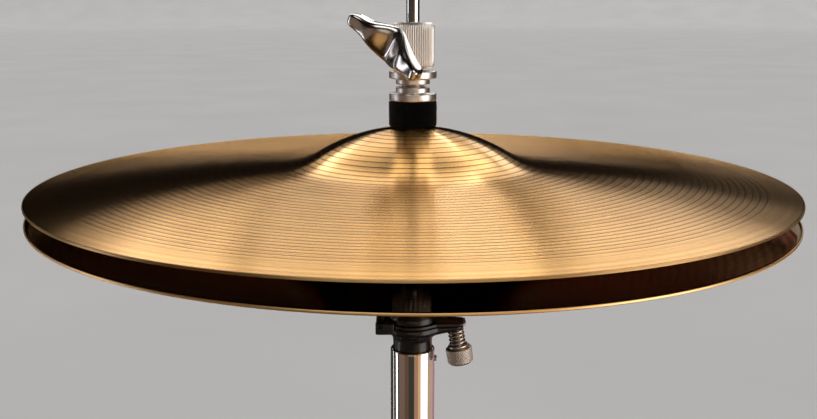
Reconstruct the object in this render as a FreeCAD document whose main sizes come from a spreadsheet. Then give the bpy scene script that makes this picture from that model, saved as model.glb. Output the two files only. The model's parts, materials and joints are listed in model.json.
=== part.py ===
import FreeCAD, Part
import math
import os
import Sketcher

# A 14 inch hi-hat on its stand. Lengths are in millimetres and angles in degrees.
# The frame's origin is on the tube's axis at floor level: +Z is up and the pedal points along -Y.

SIZES = {
    # cymbals
    "cymbal_radius": 177.8,
    "cymbal_top_thickness": 1.0,
    "cymbal_bottom_thickness": 1.1,
    "cymbal_hole_radius": 6.0,
    "bell_height": 25.9,
    "bell_radius": 91.0,
    "bell_blend_radius": 40.0,
    "bow_height": 8.74,
    "bow_radius": 1809.0,
    "top_rim_level": 870.0,
    "bottom_rim_level": 859.7,
    "bottom_tilt_front": 0.48,
    "bottom_tilt_side": 0.31,
    # pull rod and clutch
    "rod_radius": 3.175,
    "rod_foot_level": 262.0,
    "rod_top_level": 1010.0,
    "ring_level": 986.0,
    "ring_width": 1.0,
    "ring_depth": 0.4,
    "running_gap": 0.1,
    "clutch_tube_radius": 5.5,
    "clutch_tube_foot": 878.5,
    "clutch_tube_length": 49.5,
    "clutch_level": 923.7,
    "clutch_radius": 10.15,
    "clutch_height": 21.4,
    "clutch_bevel": 1.3,
    "nut_flange_radius": 11.3,
    "nut_flange_height": 3.6,
    "nut_hub_radius": 8.1,
    "nut_hub_height": 2.85,
    "nut_upper_level": 922.5,
    "nut_lower_level": 908.4,
    "felt_upper_radius": 11.5,
    "felt_upper_level": 896.1,
    "felt_upper_height": 12.2,
    "felt_lower_radius": 10.0,
    "felt_lower_level": 888.6,
    "felt_lower_height": 5.1,
    "end_nut_level": 880.0,
    "end_nut_radius": 9.5,
    "end_nut_height": 8.5,
    # cast wing screws
    "wing_span": 24.0,
    "wing_boss": 6.3,
    "wing_boss_height": 7.4,
    "wing_tip_low": 7.0,
    "wing_tip_high": 14.6,
    "wing_tip_half": 2.4,
    "wing_shank_radius": 3.0,
    "wing_shank_length": 6.6,
    "wing_stand_off": 0.6,
    "clutch_wing_azimuth": 230.0,
    "clutch_wing_roll": 59.0,
    # bottom cymbal's seat
    "tube_top_level": 784.1,
    "seat_plug_length": 22.0,
    "seat_neck_radius": 9.75,
    "seat_neck_height": 6.0,
    "seat_disc_radius": 13.0,
    "seat_disc_level": 9.0,
    "seat_arm_top": 12.2,
    "seat_arm_under": 10.2,
    "seat_arm_reach": 25.2,
    "seat_arm_half": 6.5,
    "seat_bore": 4.6,
    "set_screw_radius": 1.5,
    "set_screw_length": 3.2,
    "set_screw_drop": 6.0,
    "tilt_pivot_reach": 16.0,
    "tilt_pivot_height": 13.3,
    "tilt_pin_radius": 1.25,
    "tilt_pin_length": 19.0,
    "tilt_knuckle_radius": 2.4,
    "tilt_knuckle_width": 12.0,
    "tilt_plate_level": 796.5,
    "tilt_plate_thickness": 1.6,
    "tilt_plate_radius": 12.5,
    "tilt_plate_reach": 26.6,
    "tilt_screw_reach": 21.4,
    "tilt_screw_level": 794.3,
    "tilt_screw_lean": 9.5,
    "tilt_screw_radius": 2.5,
    "tilt_screw_length": 20.0,
    "tilt_knob_radius": 6.6,
    "tilt_knob_height": 8.9,
    "tilt_knob_bevel": 1.1,
    "tilt_spring_radius": 3.65,
    "tilt_spring_wire": 0.6,
    "tilt_spring_height": 9.8,
    "tilt_spring_pitch": 2.4,
    "spring_seat_depth": 1.1,
    "seat_cup_level": 798.3,
    "seat_cup_height": 27.7,
    "seat_cup_foot_radius": 12.0,
    "seat_cup_radius": 17.0,
    "seat_sleeve_radius": 5.3,
    "seat_sleeve_top": 838.5,
    "seat_felt_radius": 19.0,
    "seat_felt_height": 7.2,
    # tubes and height clamp
    "upper_tube_radius": 11.1,
    "upper_tube_wall": 1.2,
    "upper_tube_foot": 380.0,
    "lower_tube_radius": 14.3,
    "lower_tube_wall": 1.6,
    "lower_tube_foot": 140.0,
    "lower_tube_top": 540.0,
    "clamp_level": 516.0,
    "clamp_height": 34.0,
    "clamp_radius": 20.5,
    "clamp_screw_height": 14.0,
    "bush_length": 30.0,
    # legs and braces
    "leg_pivot_radius": 32.0,
    "leg_pivot_level": 400.0,
    "leg_lean": 34.0,
    "leg_lean_folded": 9.0,
    "collar_rise": 80.0,
    "leg_width": 14.0,
    "leg_half_gap": 4.8,
    "leg_bar": 3.5,
    "leg_web_length": 34.0,
    "foot_radius": 9.0,
    "foot_half_width": 11.5,
    "foot_cover": 24.0,
    "brace_pivot_level": 190.0,
    "brace_half": 3.5,
    "brace_width": 13.0,
    "pin_radius": 3.0,
    "pin_head_radius": 4.8,
    "pin_head_height": 1.8,
    "collar_radius": 21.5,
    "collar_height": 30.0,
    "lug_half": 4.5,
    "lug_height": 16.0,
    "brace_collar_height": 22.0,
    "fork_gap": 3.8,
    "fork_half": 7.8,
    "collar_wing_azimuth": 270.0,
    "clamp_wing_azimuth": 30.0,
    # pedal drive
    "spring_level": 170.0,
    "spring_height": 76.0,
    "spring_radius": 8.0,
    "spring_wire": 1.1,
    "spring_pitch": 7.0,
    "perch_height": 6.0,
    "cap_height": 4.0,
    "cap_radius": 10.5,
    "lower_rod_radius": 4.0,
    "clevis_level": 112.0,
    "clevis_height": 18.0,
    "clevis_half": 6.5,
    "link_pin_level": 120.0,
    "link_pin_radius": 2.0,
    "link_half_thickness": 3.0,
    "link_half_width": 7.0,
    "toe_pin_level": 98.0,
    "toe_pin_radius": 3.0,
    "toe_slot_half": 1.8,
    "coupling_radius": 6.0,
    "coupling_level": 250.0,
    "coupling_height": 24.0,
    "dial_level": 206.0,
    "dial_height": 13.0,
    "dial_radius": 19.5,
    # base frame and pedal
    "pad_thickness": 3.0,
    "plate_thickness": 3.0,
    "frame_depth": 28.0,
    "frame_inner": 44.0,
    "frame_outer": 54.0,
    "frame_foot": 68.0,
    "frame_foot_height": 6.0,
    "frame_shoulder": 116.0,
    "frame_crown": 168.0,
    "frame_ceiling": 132.0,
    "hub_radius": 22.0,
    "hub_top": 174.0,
    "screw_reach": 61.0,
    "screw_spread": 9.0,
    "screw_radius": 2.5,
    "screw_head_radius": 4.3,
    "screw_head_height": 3.0,
    "heel_reach": 300.0,
    "heel_level": 36.0,
    "hinge_pin_radius": 3.0,
    "hinge_knuckle_radius": 7.0,
    "board_thickness": 7.0,
    "board_half_toe": 38.0,
    "board_half_heel": 31.0,
    "board_toe": 286.0,
    "board_start": 11.0,
    "board_widest": 60.0,
    "rib_height": 1.4,
    "rib_width": 3.0,
    "rib_pitch": 13.0,
    "rib_start": 48.0,
    "toe_cheek_half": 7.5,
    "toe_cheek_height": 13.0,
    "heel_back": 384.0,
    "heel_half": 38.0,
    "heel_pad_half": 30.0,
    "heel_cheek": 7.0,
    "heel_skin": 5.0,
}

RIB_COUNT = 17
COLLAR_BOSS = 3.0
CLAMP_BOSS = 4.0
BORE_PLAY, PIN_PLAY = 0.1, 0.2
FELT_GAP, HEAD_GAP = 0.3, 0.3
EDGE_BREAK = 0.3
SLIVER = 0.001
LEG_AZIMUTHS = (90.0, 210.0, 330.0)
UP = FreeCAD.Vector(0, 0, 1)


class Dim(float):
    """A number that keeps the spreadsheet expression it comes from."""

    def __new__(cls, value, text):
        dim = super().__new__(cls, value)
        dim.text = text
        return dim

    def __add__(self, other):
        return joined(self, "+", other, float(self) + float(other))

    def __radd__(self, other):
        return joined(other, "+", self, float(other) + float(self))

    def __sub__(self, other):
        return joined(self, "-", other, float(self) - float(other))

    def __rsub__(self, other):
        return joined(other, "-", self, float(other) - float(self))

    def __mul__(self, other):
        return joined(self, "*", other, float(self) * float(other))

    def __rmul__(self, other):
        return joined(other, "*", self, float(other) * float(self))

    def __truediv__(self, other):
        return joined(self, "/", other, float(self) / float(other))

    def __neg__(self):
        return joined(0.0, "-", self, -float(self))


def text_of(size):
    return size.text if isinstance(size, Dim) else repr(float(size))


def joined(left, sign, right, value):
    return Dim(value, "(%s %s %s)" % (text_of(left), sign, text_of(right)))


def sine(angle):
    return Dim(math.sin(math.radians(angle)), "sin(%s)" % text_of(angle))


def cosine(angle):
    return Dim(math.cos(math.radians(angle)), "cos(%s)" % text_of(angle))


class Sizes:
    """The driving dimensions, each one readable as an attribute."""

    def __init__(self, sheet):
        for row, (name, value) in enumerate(SIZES.items(), start=1):
            sheet.set("A%d" % row, name)
            sheet.set("B%d" % row, repr(value))
            sheet.setAlias("B%d" % row, name)
            setattr(self, name, Dim(value, "Sizes." + name))


doc = FreeCAD.newDocument("HiHat")
sizes_sheet = doc.addObject("Spreadsheet::Sheet", "Sizes")
s = Sizes(sizes_sheet)
doc.recompute()
parts = []


# ---------------------------------------------------------------- helpers

def bind(obj, prop, size):
    setattr(obj, prop, float(size))
    if isinstance(size, Dim):
        obj.setExpression(prop, size.text)


def place(obj, x=0.0, y=0.0, z=0.0, rotation=None):
    """Puts a finished sub-part where it belongs, each coordinate bound to its size."""
    turn = rotation if rotation else FreeCAD.Rotation()
    obj.Placement = FreeCAD.Placement(FreeCAD.Vector(float(x), float(y), float(z)), turn)
    for axis, size in zip("xyz", (x, y, z)):
        if isinstance(size, Dim):
            obj.setExpression("Placement.Base." + axis, size.text)
    return obj


def keep(obj, name):
    """Lists an object as a sub-part that is written to its own file."""
    obj.Label = name
    parts.append(obj)
    return obj


def new_body(name):
    return keep(doc.addObject("PartDesign::Body", name), name)


def new_sketch(body, role="XY_Plane", offset=0.0):
    plane = [f for f in body.Origin.OriginFeatures if f.Role == role][0]
    sketch = body.newObject("Sketcher::SketchObject", body.Label + "_sketch")
    sketch.AttachmentSupport = [(plane, "")]
    sketch.MapMode = "FlatFace"
    sketch.AttachmentOffset = FreeCAD.Placement(UP * float(offset), FreeCAD.Rotation())
    if isinstance(offset, Dim):
        sketch.setExpression("AttachmentOffset.Base.z", offset.text)
    return sketch


def fix(sketch, kind, *spec):
    """Adds a constraint whose last value is a size, bound to the sheet when it comes from there."""
    size = spec[-1]
    number = sketch.addConstraint(Sketcher.Constraint(kind, *spec[:-1], float(size)))
    if isinstance(size, Dim):
        sketch.setExpression("Constraints[%d]" % number, size.text)


def pin_point(sketch, edge, end, x, y):
    fix(sketch, "DistanceX", edge, end, x)
    fix(sketch, "DistanceY", edge, end, y)


def add_loop(sketch, points):
    """Draws a closed chain of straight edges, with every corner held at its own sizes."""
    first = sketch.GeometryCount
    corners = [FreeCAD.Vector(float(x), float(y), 0) for x, y in points]
    for start, end in zip(corners, corners[1:] + corners[:1]):
        sketch.addGeometry(Part.LineSegment(start, end), False)
    for i, (x, y) in enumerate(points):
        before = first + (i - 1) % len(points)
        sketch.addConstraint(Sketcher.Constraint("Coincident", before, 2, first + i, 1))
        pin_point(sketch, first + i, 1, x, y)


def add_circle(sketch, x, y, radius):
    centre = FreeCAD.Vector(float(x), float(y), 0)
    number = sketch.addGeometry(Part.Circle(centre, UP, float(radius)), False)
    fix(sketch, "Radius", number, radius)
    pin_point(sketch, number, 3, x, y)


def box_points(x_low, x_high, y_low, y_high):
    return [(x_low, y_low), (x_high, y_low), (x_high, y_high), (x_low, y_high)]


def revolve(body, points):
    sketch = new_sketch(body, "XZ_Plane")
    add_loop(sketch, points)
    solid = body.newObject("PartDesign::Revolution", body.Label + "_turned")
    solid.Profile = sketch
    solid.ReferenceAxis = (sketch, ["V_Axis"])
    solid.Angle = 360.0
    return solid


def turned(name, points):
    """A sub-part turned about its own Z axis from a chain of (radius, height) corners."""
    body = new_body(name)
    revolve(body, points)
    return body


def ring(name, inner, outer, height, bevel=0.0):
    """A turned ring, tube or washer with bevelled outer edges."""
    if not bevel:
        return turned(name, box_points(inner, outer, 0.0, height))
    return turned(name, [(inner, 0.0), (outer - bevel, 0.0), (outer, bevel), (outer, height - bevel),
                         (outer - bevel, height), (inner, height)])


def shaft(name, radius, height, bevel):
    """A solid pin with bevelled ends."""
    return turned(name, [(0.0, 0.0), (radius - bevel, 0.0), (radius, bevel), (radius, height - bevel),
                         (radius - bevel, height), (0.0, height)])


def pad(body, sketch, length, centred=False, backwards=False):
    solid = body.newObject("PartDesign::Pad", body.Label + "_pad")
    solid.Profile = sketch
    solid.SideType = "Symmetric" if centred else "One side"
    solid.Reversed = backwards
    bind(solid, "Length", length)
    return solid


def pocket(body, sketch, length, centred=False, backwards=False):
    """Cuts the sketch's shape away and makes sure that it did cut."""
    doc.recompute()
    before = body.Shape.Volume
    cut = body.newObject("PartDesign::Pocket", body.Label + "_pocket")
    cut.Profile = sketch
    cut.SideType = "Symmetric" if centred else "One side"
    cut.Reversed = backwards
    bind(cut, "Length", length)
    doc.recompute()
    if body.Shape.Volume > before - SLIVER:
        raise RuntimeError("a pocket of %s cuts nothing" % body.Label)
    return cut


def pattern(body, features, count, axis_role="Z_Axis"):
    """Repeats features round an axis of the body."""
    doc.recompute()
    axis = [f for f in body.Origin.OriginFeatures if f.Role == axis_role][0]
    copy = body.newObject("PartDesign::PolarPattern", body.Label + "_pattern")
    copy.Originals = features
    copy.Axis = (axis, [""])
    copy.Angle = 360.0
    copy.Occurrences = count
    body.Tip = copy
    return copy


def round_faces(body, axis, radius):
    """Rounds the edges of the two flat faces that lie furthest out along an axis."""
    doc.recompute()
    base = body.Tip
    names = []
    span = base.Shape.BoundBox
    ends = {"x": (span.XMin, span.XMax), "y": (span.YMin, span.YMax), "z": (span.ZMin, span.ZMax)}[axis]
    for number, face in enumerate(base.Shape.Faces, start=1):
        middle = getattr(face.CenterOfMass, axis)
        if face.Surface.TypeId == "Part::GeomPlane" and min(abs(middle - e) for e in ends) < SLIVER:
            names.append("Face%d" % number)
    rounded = body.newObject("PartDesign::Fillet", body.Label + "_round")
    rounded.Base = (base, names)
    bind(rounded, "Radius", radius)
    return rounded


def coil(name, radius, wire, height, pitch):
    """A round-wire spring standing on its own origin."""
    path = doc.addObject("Part::Helix", name + "_path")
    bind(path, "Radius", radius)
    bind(path, "Pitch", pitch)
    bind(path, "Height", height - 2 * wire)
    section = doc.addObject("Part::Circle", name + "_section")
    bind(section, "Radius", wire)
    section.Placement = FreeCAD.Placement(FreeCAD.Vector(float(radius), 0, 0),
                                          FreeCAD.Rotation(FreeCAD.Vector(1, 0, 0), 90))
    section.setExpression("Placement.Base.x", text_of(radius))
    doc.recompute()
    sweep = doc.addObject("Part::Sweep", name)
    sweep.Sections = [section]
    sweep.Spine = (path, ["Edge1"])
    sweep.Solid = True
    sweep.Frenet = True
    return keep(sweep, name)


def about_z(angle):
    return FreeCAD.Rotation(UP, float(angle))


def about_y(angle):
    return FreeCAD.Rotation(FreeCAD.Vector(0, 1, 0), float(angle))


def about_x(angle):
    return FreeCAD.Rotation(FreeCAD.Vector(1, 0, 0), float(angle))


# ---------------------------------------------------------------- cymbals

def cymbal(name, thickness):
    """A dished plate: a domed bell, a reversed blend and a shallow bow, with its rim at z = 0.

    The outer skin's three arcs are tangent; the inner skin has the same centres, one thickness in.
    """
    bell_centre = float(s.bell_height - s.bell_radius)
    bow_centre = float(s.bow_height - s.bow_radius)
    near = float(s.bell_radius + s.bell_blend_radius)
    far = float(s.bow_radius + s.bell_blend_radius)
    middle = (bell_centre + bow_centre) / 2
    blend_z = middle + (far ** 2 - near ** 2) / (2 * (bell_centre - bow_centre))
    blend_r = math.sqrt(near ** 2 - (blend_z - bell_centre) ** 2)
    to_bell = math.atan2(bell_centre - blend_z, -blend_r)
    to_bow = math.atan2(bow_centre - blend_z, -blend_r)

    def arc(sketch, x, z, radius, start, end):
        circle = Part.Circle(FreeCAD.Vector(x, z, 0), UP, radius)
        return sketch.addGeometry(Part.ArcOfCircle(circle, start, end), False)

    def skin(sketch, inset):
        """Draws one skin from the rim to the hole and returns its three arcs."""
        bell_r, bow_r = s.bell_radius - inset, s.bow_radius - inset
        blend = s.bell_blend_radius + inset
        rim_angle = math.acos(float(s.cymbal_radius) / float(bow_r))
        hole_angle = math.acos(float(s.cymbal_hole_radius) / float(bell_r))
        bow = arc(sketch, 0, bow_centre, float(bow_r), rim_angle, to_bow + math.pi)
        turn = arc(sketch, blend_r, blend_z, float(blend), to_bell, to_bow)
        bell = arc(sketch, 0, bell_centre, float(bell_r), to_bell + math.pi, hole_angle)
        for number, radius in ((bow, bow_r), (turn, blend), (bell, bell_r)):
            fix(sketch, "Radius", number, radius)
        pin_point(sketch, bow, 3, 0.0, s.bow_height - s.bow_radius)
        pin_point(sketch, bell, 3, 0.0, s.bell_height - s.bell_radius)
        sketch.addConstraint(Sketcher.Constraint("Tangent", bow, 2, turn, 2))
        sketch.addConstraint(Sketcher.Constraint("Tangent", turn, 1, bell, 1))
        fix(sketch, "DistanceX", bow, 1, s.cymbal_radius)
        fix(sketch, "DistanceX", bell, 2, s.cymbal_hole_radius)
        return bow, bell

    body = new_body(name)
    sketch = new_sketch(body, "XZ_Plane")
    outer_bow, outer_bell = skin(sketch, 0.0 * thickness)
    inner_bow, inner_bell = skin(sketch, thickness)
    for outer, inner, end in ((outer_bow, inner_bow, 1), (outer_bell, inner_bell, 2)):
        start, stop = sketch.getPoint(outer, end), sketch.getPoint(inner, end)
        edge = sketch.addGeometry(Part.LineSegment(start, stop), False)
        sketch.addConstraint(Sketcher.Constraint("Coincident", edge, 1, outer, end))
        sketch.addConstraint(Sketcher.Constraint("Coincident", edge, 2, inner, end))
    solid = body.newObject("PartDesign::Revolution", name + "_turned")
    solid.Profile = sketch
    solid.ReferenceAxis = (sketch, ["V_Axis"])
    solid.Angle = 360.0
    return body


def cymbals():
    place(cymbal("top_cymbal", s.cymbal_top_thickness), z=s.top_rim_level)
    lean = about_x(s.bottom_tilt_front) * about_y(s.bottom_tilt_side)
    place(cymbal("bottom_cymbal", s.cymbal_bottom_thickness), z=s.bottom_rim_level,
          rotation=lean * about_x(180))


# ---------------------------------------------------------------- clutch

def wing_screw(name):
    """A cast wing screw: +Z points out of the hole, the ears spread along X and sweep outwards."""
    body = new_body(name)
    side = new_sketch(body, "XZ_Plane")
    saddle = s.wing_boss * 0.6
    add_loop(side, [(-s.wing_boss, s.wing_stand_off), (s.wing_boss, s.wing_stand_off),
                    (s.wing_span - 2, s.wing_tip_low), (s.wing_span, s.wing_tip_low + 2),
                    (s.wing_span, s.wing_tip_high - 2), (s.wing_span - 2, s.wing_tip_high),
                    (saddle, s.wing_boss_height), (-saddle, s.wing_boss_height),
                    (2 - s.wing_span, s.wing_tip_high), (-s.wing_span, s.wing_tip_high - 2),
                    (-s.wing_span, s.wing_tip_low + 2), (2 - s.wing_span, s.wing_tip_low)])
    pad(body, side, 2 * s.wing_boss, centred=True)
    leaf = new_sketch(body, "XY_Plane")
    margin = s.wing_boss + 4
    add_loop(leaf, box_points(-s.wing_span - 4, s.wing_span + 4, -margin, margin))
    neck, root, shoulder = s.wing_tip_half + 0.8, s.wing_boss * 0.55, s.wing_boss * 1.5
    add_loop(leaf, [(-s.wing_span, -s.wing_tip_half), (-shoulder, -neck),
                    (-root, -s.wing_boss), (root, -s.wing_boss), (shoulder, -neck),
                    (s.wing_span, -s.wing_tip_half), (s.wing_span, s.wing_tip_half),
                    (shoulder, neck), (root, s.wing_boss), (-root, s.wing_boss),
                    (-shoulder, neck), (-s.wing_span, s.wing_tip_half)])
    pocket(body, leaf, s.wing_tip_high + 2, backwards=True)
    shank = new_sketch(body, "XY_Plane", s.wing_stand_off)
    add_circle(shank, 0.0, 0.0, s.wing_shank_radius)
    pad(body, shank, s.wing_shank_length + s.wing_stand_off, backwards=True)
    return body


def radial_screw(name, radius, level, azimuth, roll):
    """Sets a wing screw into a round part, square to its axis."""
    facing = about_z(azimuth) * about_y(90) * about_z(roll)
    screw = wing_screw(name)
    return place(screw, radius * cosine(azimuth), radius * sine(azimuth), level, facing)


def cross_hole(body, height, reach):
    """Drills the hole for a wing screw along the body's own +X axis."""
    sketch = new_sketch(body, "YZ_Plane")
    add_circle(sketch, 0.0, height, s.wing_shank_radius + s.running_gap)
    pocket(body, sketch, reach, backwards=True)


def clutch():
    bore = s.rod_radius + s.running_gap
    socket = s.clutch_tube_foot + s.clutch_tube_length - s.clutch_level
    bevel = s.clutch_bevel
    body = turned("clutch_body", [
        (s.clutch_tube_radius, 0.0), (s.clutch_radius - bevel, 0.0), (s.clutch_radius, bevel),
        (s.clutch_radius, s.clutch_height - bevel), (s.clutch_radius - bevel, s.clutch_height),
        (bore, s.clutch_height), (bore, socket), (s.clutch_tube_radius, socket)])
    cross_hole(body, s.clutch_height / 2, s.clutch_radius + 1)
    place(body, z=s.clutch_level, rotation=about_z(s.clutch_wing_azimuth))
    tube = ring("clutch_tube", bore, s.clutch_tube_radius, s.clutch_tube_length, 0.5)
    place(tube, z=s.clutch_tube_foot)
    radial_screw("clutch_wing_screw", s.clutch_radius, s.clutch_level + s.clutch_height / 2,
                 s.clutch_wing_azimuth, s.clutch_wing_roll)
    flip = about_x(180)
    place(lock_nut("lock_nut_upper"), z=s.nut_upper_level, rotation=flip)
    place(lock_nut("lock_nut_lower"), z=s.nut_lower_level)
    place(felt("clutch_felt_upper", s.felt_upper_radius, s.felt_upper_height), z=s.felt_upper_level)
    place(felt("clutch_felt_lower", s.felt_lower_radius, s.felt_lower_height), z=s.felt_lower_level)
    end_nut = ring("clutch_end_nut", s.clutch_tube_radius, s.end_nut_radius, s.end_nut_height, 1.0)
    place(end_nut, z=s.end_nut_level)


def lock_nut(name):
    flange, hub, tall = s.nut_flange_radius, s.nut_hub_radius, s.nut_flange_height + s.nut_hub_height
    edge = 0.5
    return turned(name, [
        (s.clutch_tube_radius, 0.0), (flange - edge, 0.0), (flange, edge),
        (flange, s.nut_flange_height - edge), (flange - edge, s.nut_flange_height),
        (hub, s.nut_flange_height), (hub, tall - edge), (hub - edge, tall),
        (s.clutch_tube_radius, tall)])


def felt(name, radius, height):
    return ring(name, s.clutch_tube_radius + FELT_GAP, radius, height)


# ---------------------------------------------------------------- pull rod

def pull_rod():
    ring_low = s.ring_level - s.rod_foot_level
    groove = s.rod_radius - s.ring_depth
    length = s.rod_top_level - s.rod_foot_level
    bevel = 0.8
    rod = turned("pull_rod", [
        (0.0, 0.0), (s.rod_radius - bevel, 0.0), (s.rod_radius, bevel), (s.rod_radius, ring_low),
        (groove, ring_low), (groove, ring_low + s.ring_width),
        (s.rod_radius, ring_low + s.ring_width), (s.rod_radius, length - bevel),
        (s.rod_radius - bevel, length), (0.0, length)])
    place(rod, z=s.rod_foot_level)


def rod_coupling():
    """The round nut that joins the two rods, with a thread bore at each end."""
    half = s.coupling_height / 2
    body = turned("rod_coupling", [
        (0.0, half - 0.5), (s.lower_rod_radius, half - 0.5), (s.lower_rod_radius, 0.0),
        (s.coupling_radius, 0.0), (s.coupling_radius, s.coupling_height),
        (s.rod_radius, s.coupling_height), (s.rod_radius, half), (0.0, half)])
    place(body, z=s.coupling_level)


def lower_rod():
    body = new_body("lower_rod")
    top = s.coupling_level + s.coupling_height / 2 - 0.5 - s.clevis_level
    revolve(body, [(0.0, s.clevis_height - 2), (s.lower_rod_radius, s.clevis_height - 2),
                   (s.lower_rod_radius, top), (0.0, top)])
    block = new_sketch(body)
    half = s.clevis_half
    add_loop(block, box_points(-half, half, -half, half))
    pad(body, block, s.clevis_height)
    slot = new_sketch(body, "YZ_Plane")
    pin_height = s.link_pin_level - s.clevis_level
    add_circle(slot, 0.0, pin_height, s.link_pin_radius)
    pocket(body, slot, 3 * half, centred=True)
    gap = new_sketch(body, "XZ_Plane")
    side = s.link_half_thickness + PIN_PLAY
    add_loop(gap, box_points(-side, side, -1.0, pin_height + s.link_half_width + 0.5))
    pocket(body, gap, 3 * half, centred=True)
    place(body, z=s.clevis_level)


def drive_link():
    """A short strap, round at both ends; its lower eye is a slot for the pin's sideways swing."""
    body = new_body("drive_link")
    drop = s.link_pin_level - s.toe_pin_level
    half = s.link_half_width
    for height in (0.0, -drop):
        eye = new_sketch(body, "YZ_Plane")
        add_circle(eye, 0.0, height, half)
        pad(body, eye, 2 * s.link_half_thickness, centred=True)
        if height == 0.0:
            strap = new_sketch(body, "YZ_Plane")
            add_loop(strap, box_points(-half, half, -drop, 0.0))
            pad(body, strap, 2 * s.link_half_thickness, centred=True)
    bore = new_sketch(body, "YZ_Plane")
    add_circle(bore, 0.0, 0.0, s.link_pin_radius)
    pocket(body, bore, 3 * half, centred=True)
    reach = s.toe_pin_radius + PIN_PLAY
    slot = new_sketch(body, "YZ_Plane")
    add_loop(slot, box_points(-s.toe_slot_half, s.toe_slot_half, -drop - reach, reach - drop))
    pocket(body, slot, 3 * half, centred=True)
    for side in (-s.toe_slot_half, s.toe_slot_half):
        end = new_sketch(body, "YZ_Plane")
        add_circle(end, side, -drop, reach)
        pocket(body, end, 3 * half, centred=True)
    place(body, z=s.link_pin_level)


def drive():
    pull_rod()
    rod_coupling()
    lower_rod()
    drive_link()
    link_pin = shaft("link_pin", s.link_pin_radius, 2 * s.clevis_half + 1, EDGE_BREAK)
    place(link_pin, -s.clevis_half - 0.5, 0.0, s.link_pin_level, about_y(90))
    toe_pin = shaft("toe_pin", s.toe_pin_radius, 2 * s.toe_cheek_half + 2, 0.4)
    place(toe_pin, -s.toe_cheek_half - 1, 0.0, s.toe_pin_level, about_y(90))
    cap = ring("spring_cap", s.lower_rod_radius, s.cap_radius, s.cap_height, 0.6)
    place(cap, z=s.spring_level + s.spring_height)
    inside = s.lower_tube_radius - s.lower_tube_wall
    perch = ring("spring_perch", s.lower_rod_radius + 0.4, inside, s.perch_height)
    place(perch, z=s.spring_level - s.perch_height)
    spring = coil("return_spring", s.spring_radius, s.spring_wire, s.spring_height, s.spring_pitch)
    place(spring, z=s.spring_level + s.spring_wire)
    dial = ring("tension_dial", s.lower_tube_radius, s.dial_radius, s.dial_height, 1.2)
    place(dial, z=s.dial_level)


# ---------------------------------------------------------------- seat of the bottom cymbal

def seat_base():
    """Moulded base: a plug in the tube, a neck, a flared disc and the arm for the tilt screw."""
    body = new_body("seat_base")
    plug = s.upper_tube_radius - s.upper_tube_wall
    inside = plug - 1.0
    lug_root, lug_rim = 8.0, 2.5
    hole_gap, deep = 0.6, 6.0
    revolve(body, [(s.seat_bore, s.seat_arm_top), (s.seat_bore, -s.seat_plug_length),
                   (inside, -s.seat_plug_length), (plug, 1.0 - s.seat_plug_length),
                   (plug, -2.0), (s.seat_neck_radius, 0.0), (s.seat_neck_radius, s.seat_neck_height),
                   (s.seat_disc_radius, s.seat_disc_level), (s.seat_disc_radius, s.seat_arm_top)])
    arm = new_sketch(body, "XY_Plane", s.seat_arm_under)
    add_loop(arm, [(s.seat_bore + 2, -s.seat_arm_half - 2), (s.seat_arm_reach - 3, -s.seat_arm_half),
                   (s.seat_arm_reach, 3 - s.seat_arm_half), (s.seat_arm_reach, s.seat_arm_half - 3),
                   (s.seat_arm_reach - 3, s.seat_arm_half), (s.seat_bore + 2, s.seat_arm_half + 2)])
    pad(body, arm, s.seat_arm_top - s.seat_arm_under)
    lugs = new_sketch(body, "XZ_Plane")
    reach = s.tilt_pivot_reach
    add_loop(lugs, [(-lug_root, s.seat_arm_under - 1), (-lug_root, s.tilt_pivot_height + 2),
                    (-reach - lug_rim, s.tilt_pivot_height + 2),
                    (-reach - lug_rim, s.tilt_pivot_height - 2),
                    (-reach + 1, s.seat_arm_under - 1)])
    pad(body, lugs, s.tilt_pin_length, centred=True)
    gap = new_sketch(body, "XZ_Plane")
    add_loop(gap, box_points(-reach - 6, -reach + 3, s.seat_arm_under - 3, s.tilt_pivot_height + 5))
    pocket(body, gap, s.tilt_knuckle_width + hole_gap, centred=True)
    clear = new_sketch(body, "XY_Plane", s.seat_arm_top)
    add_loop(clear, box_points(-reach + s.tilt_knuckle_radius + 0.5, 0.0, -12.0, 12.0))
    pocket(body, clear, deep, backwards=True)
    pin_hole = new_sketch(body, "XZ_Plane")
    add_circle(pin_hole, -reach, s.tilt_pivot_height, s.tilt_pin_radius)
    pocket(body, pin_hole, 2 * s.tilt_pin_length, centred=True)
    screw_hole = new_sketch(body, "XY_Plane", s.seat_arm_top + 1)
    add_circle(screw_hole, s.tilt_screw_reach, 0.0, s.tilt_screw_radius + hole_gap)
    pocket(body, screw_hole, deep)
    set_hole = new_sketch(body, "YZ_Plane")
    add_circle(set_hole, 0.0, -s.set_screw_drop, s.set_screw_radius)
    pocket(body, set_hole, plug + 1, backwards=True)
    spring_seat = new_sketch(body, "XY_Plane", s.seat_arm_under - 1)
    add_circle(spring_seat, s.tilt_screw_reach, 0.0, s.tilt_spring_radius + s.tilt_spring_wire + hole_gap)
    pocket(body, spring_seat, 1.0 + s.spring_seat_depth, backwards=True)
    place(body, z=s.tube_top_level)


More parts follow.
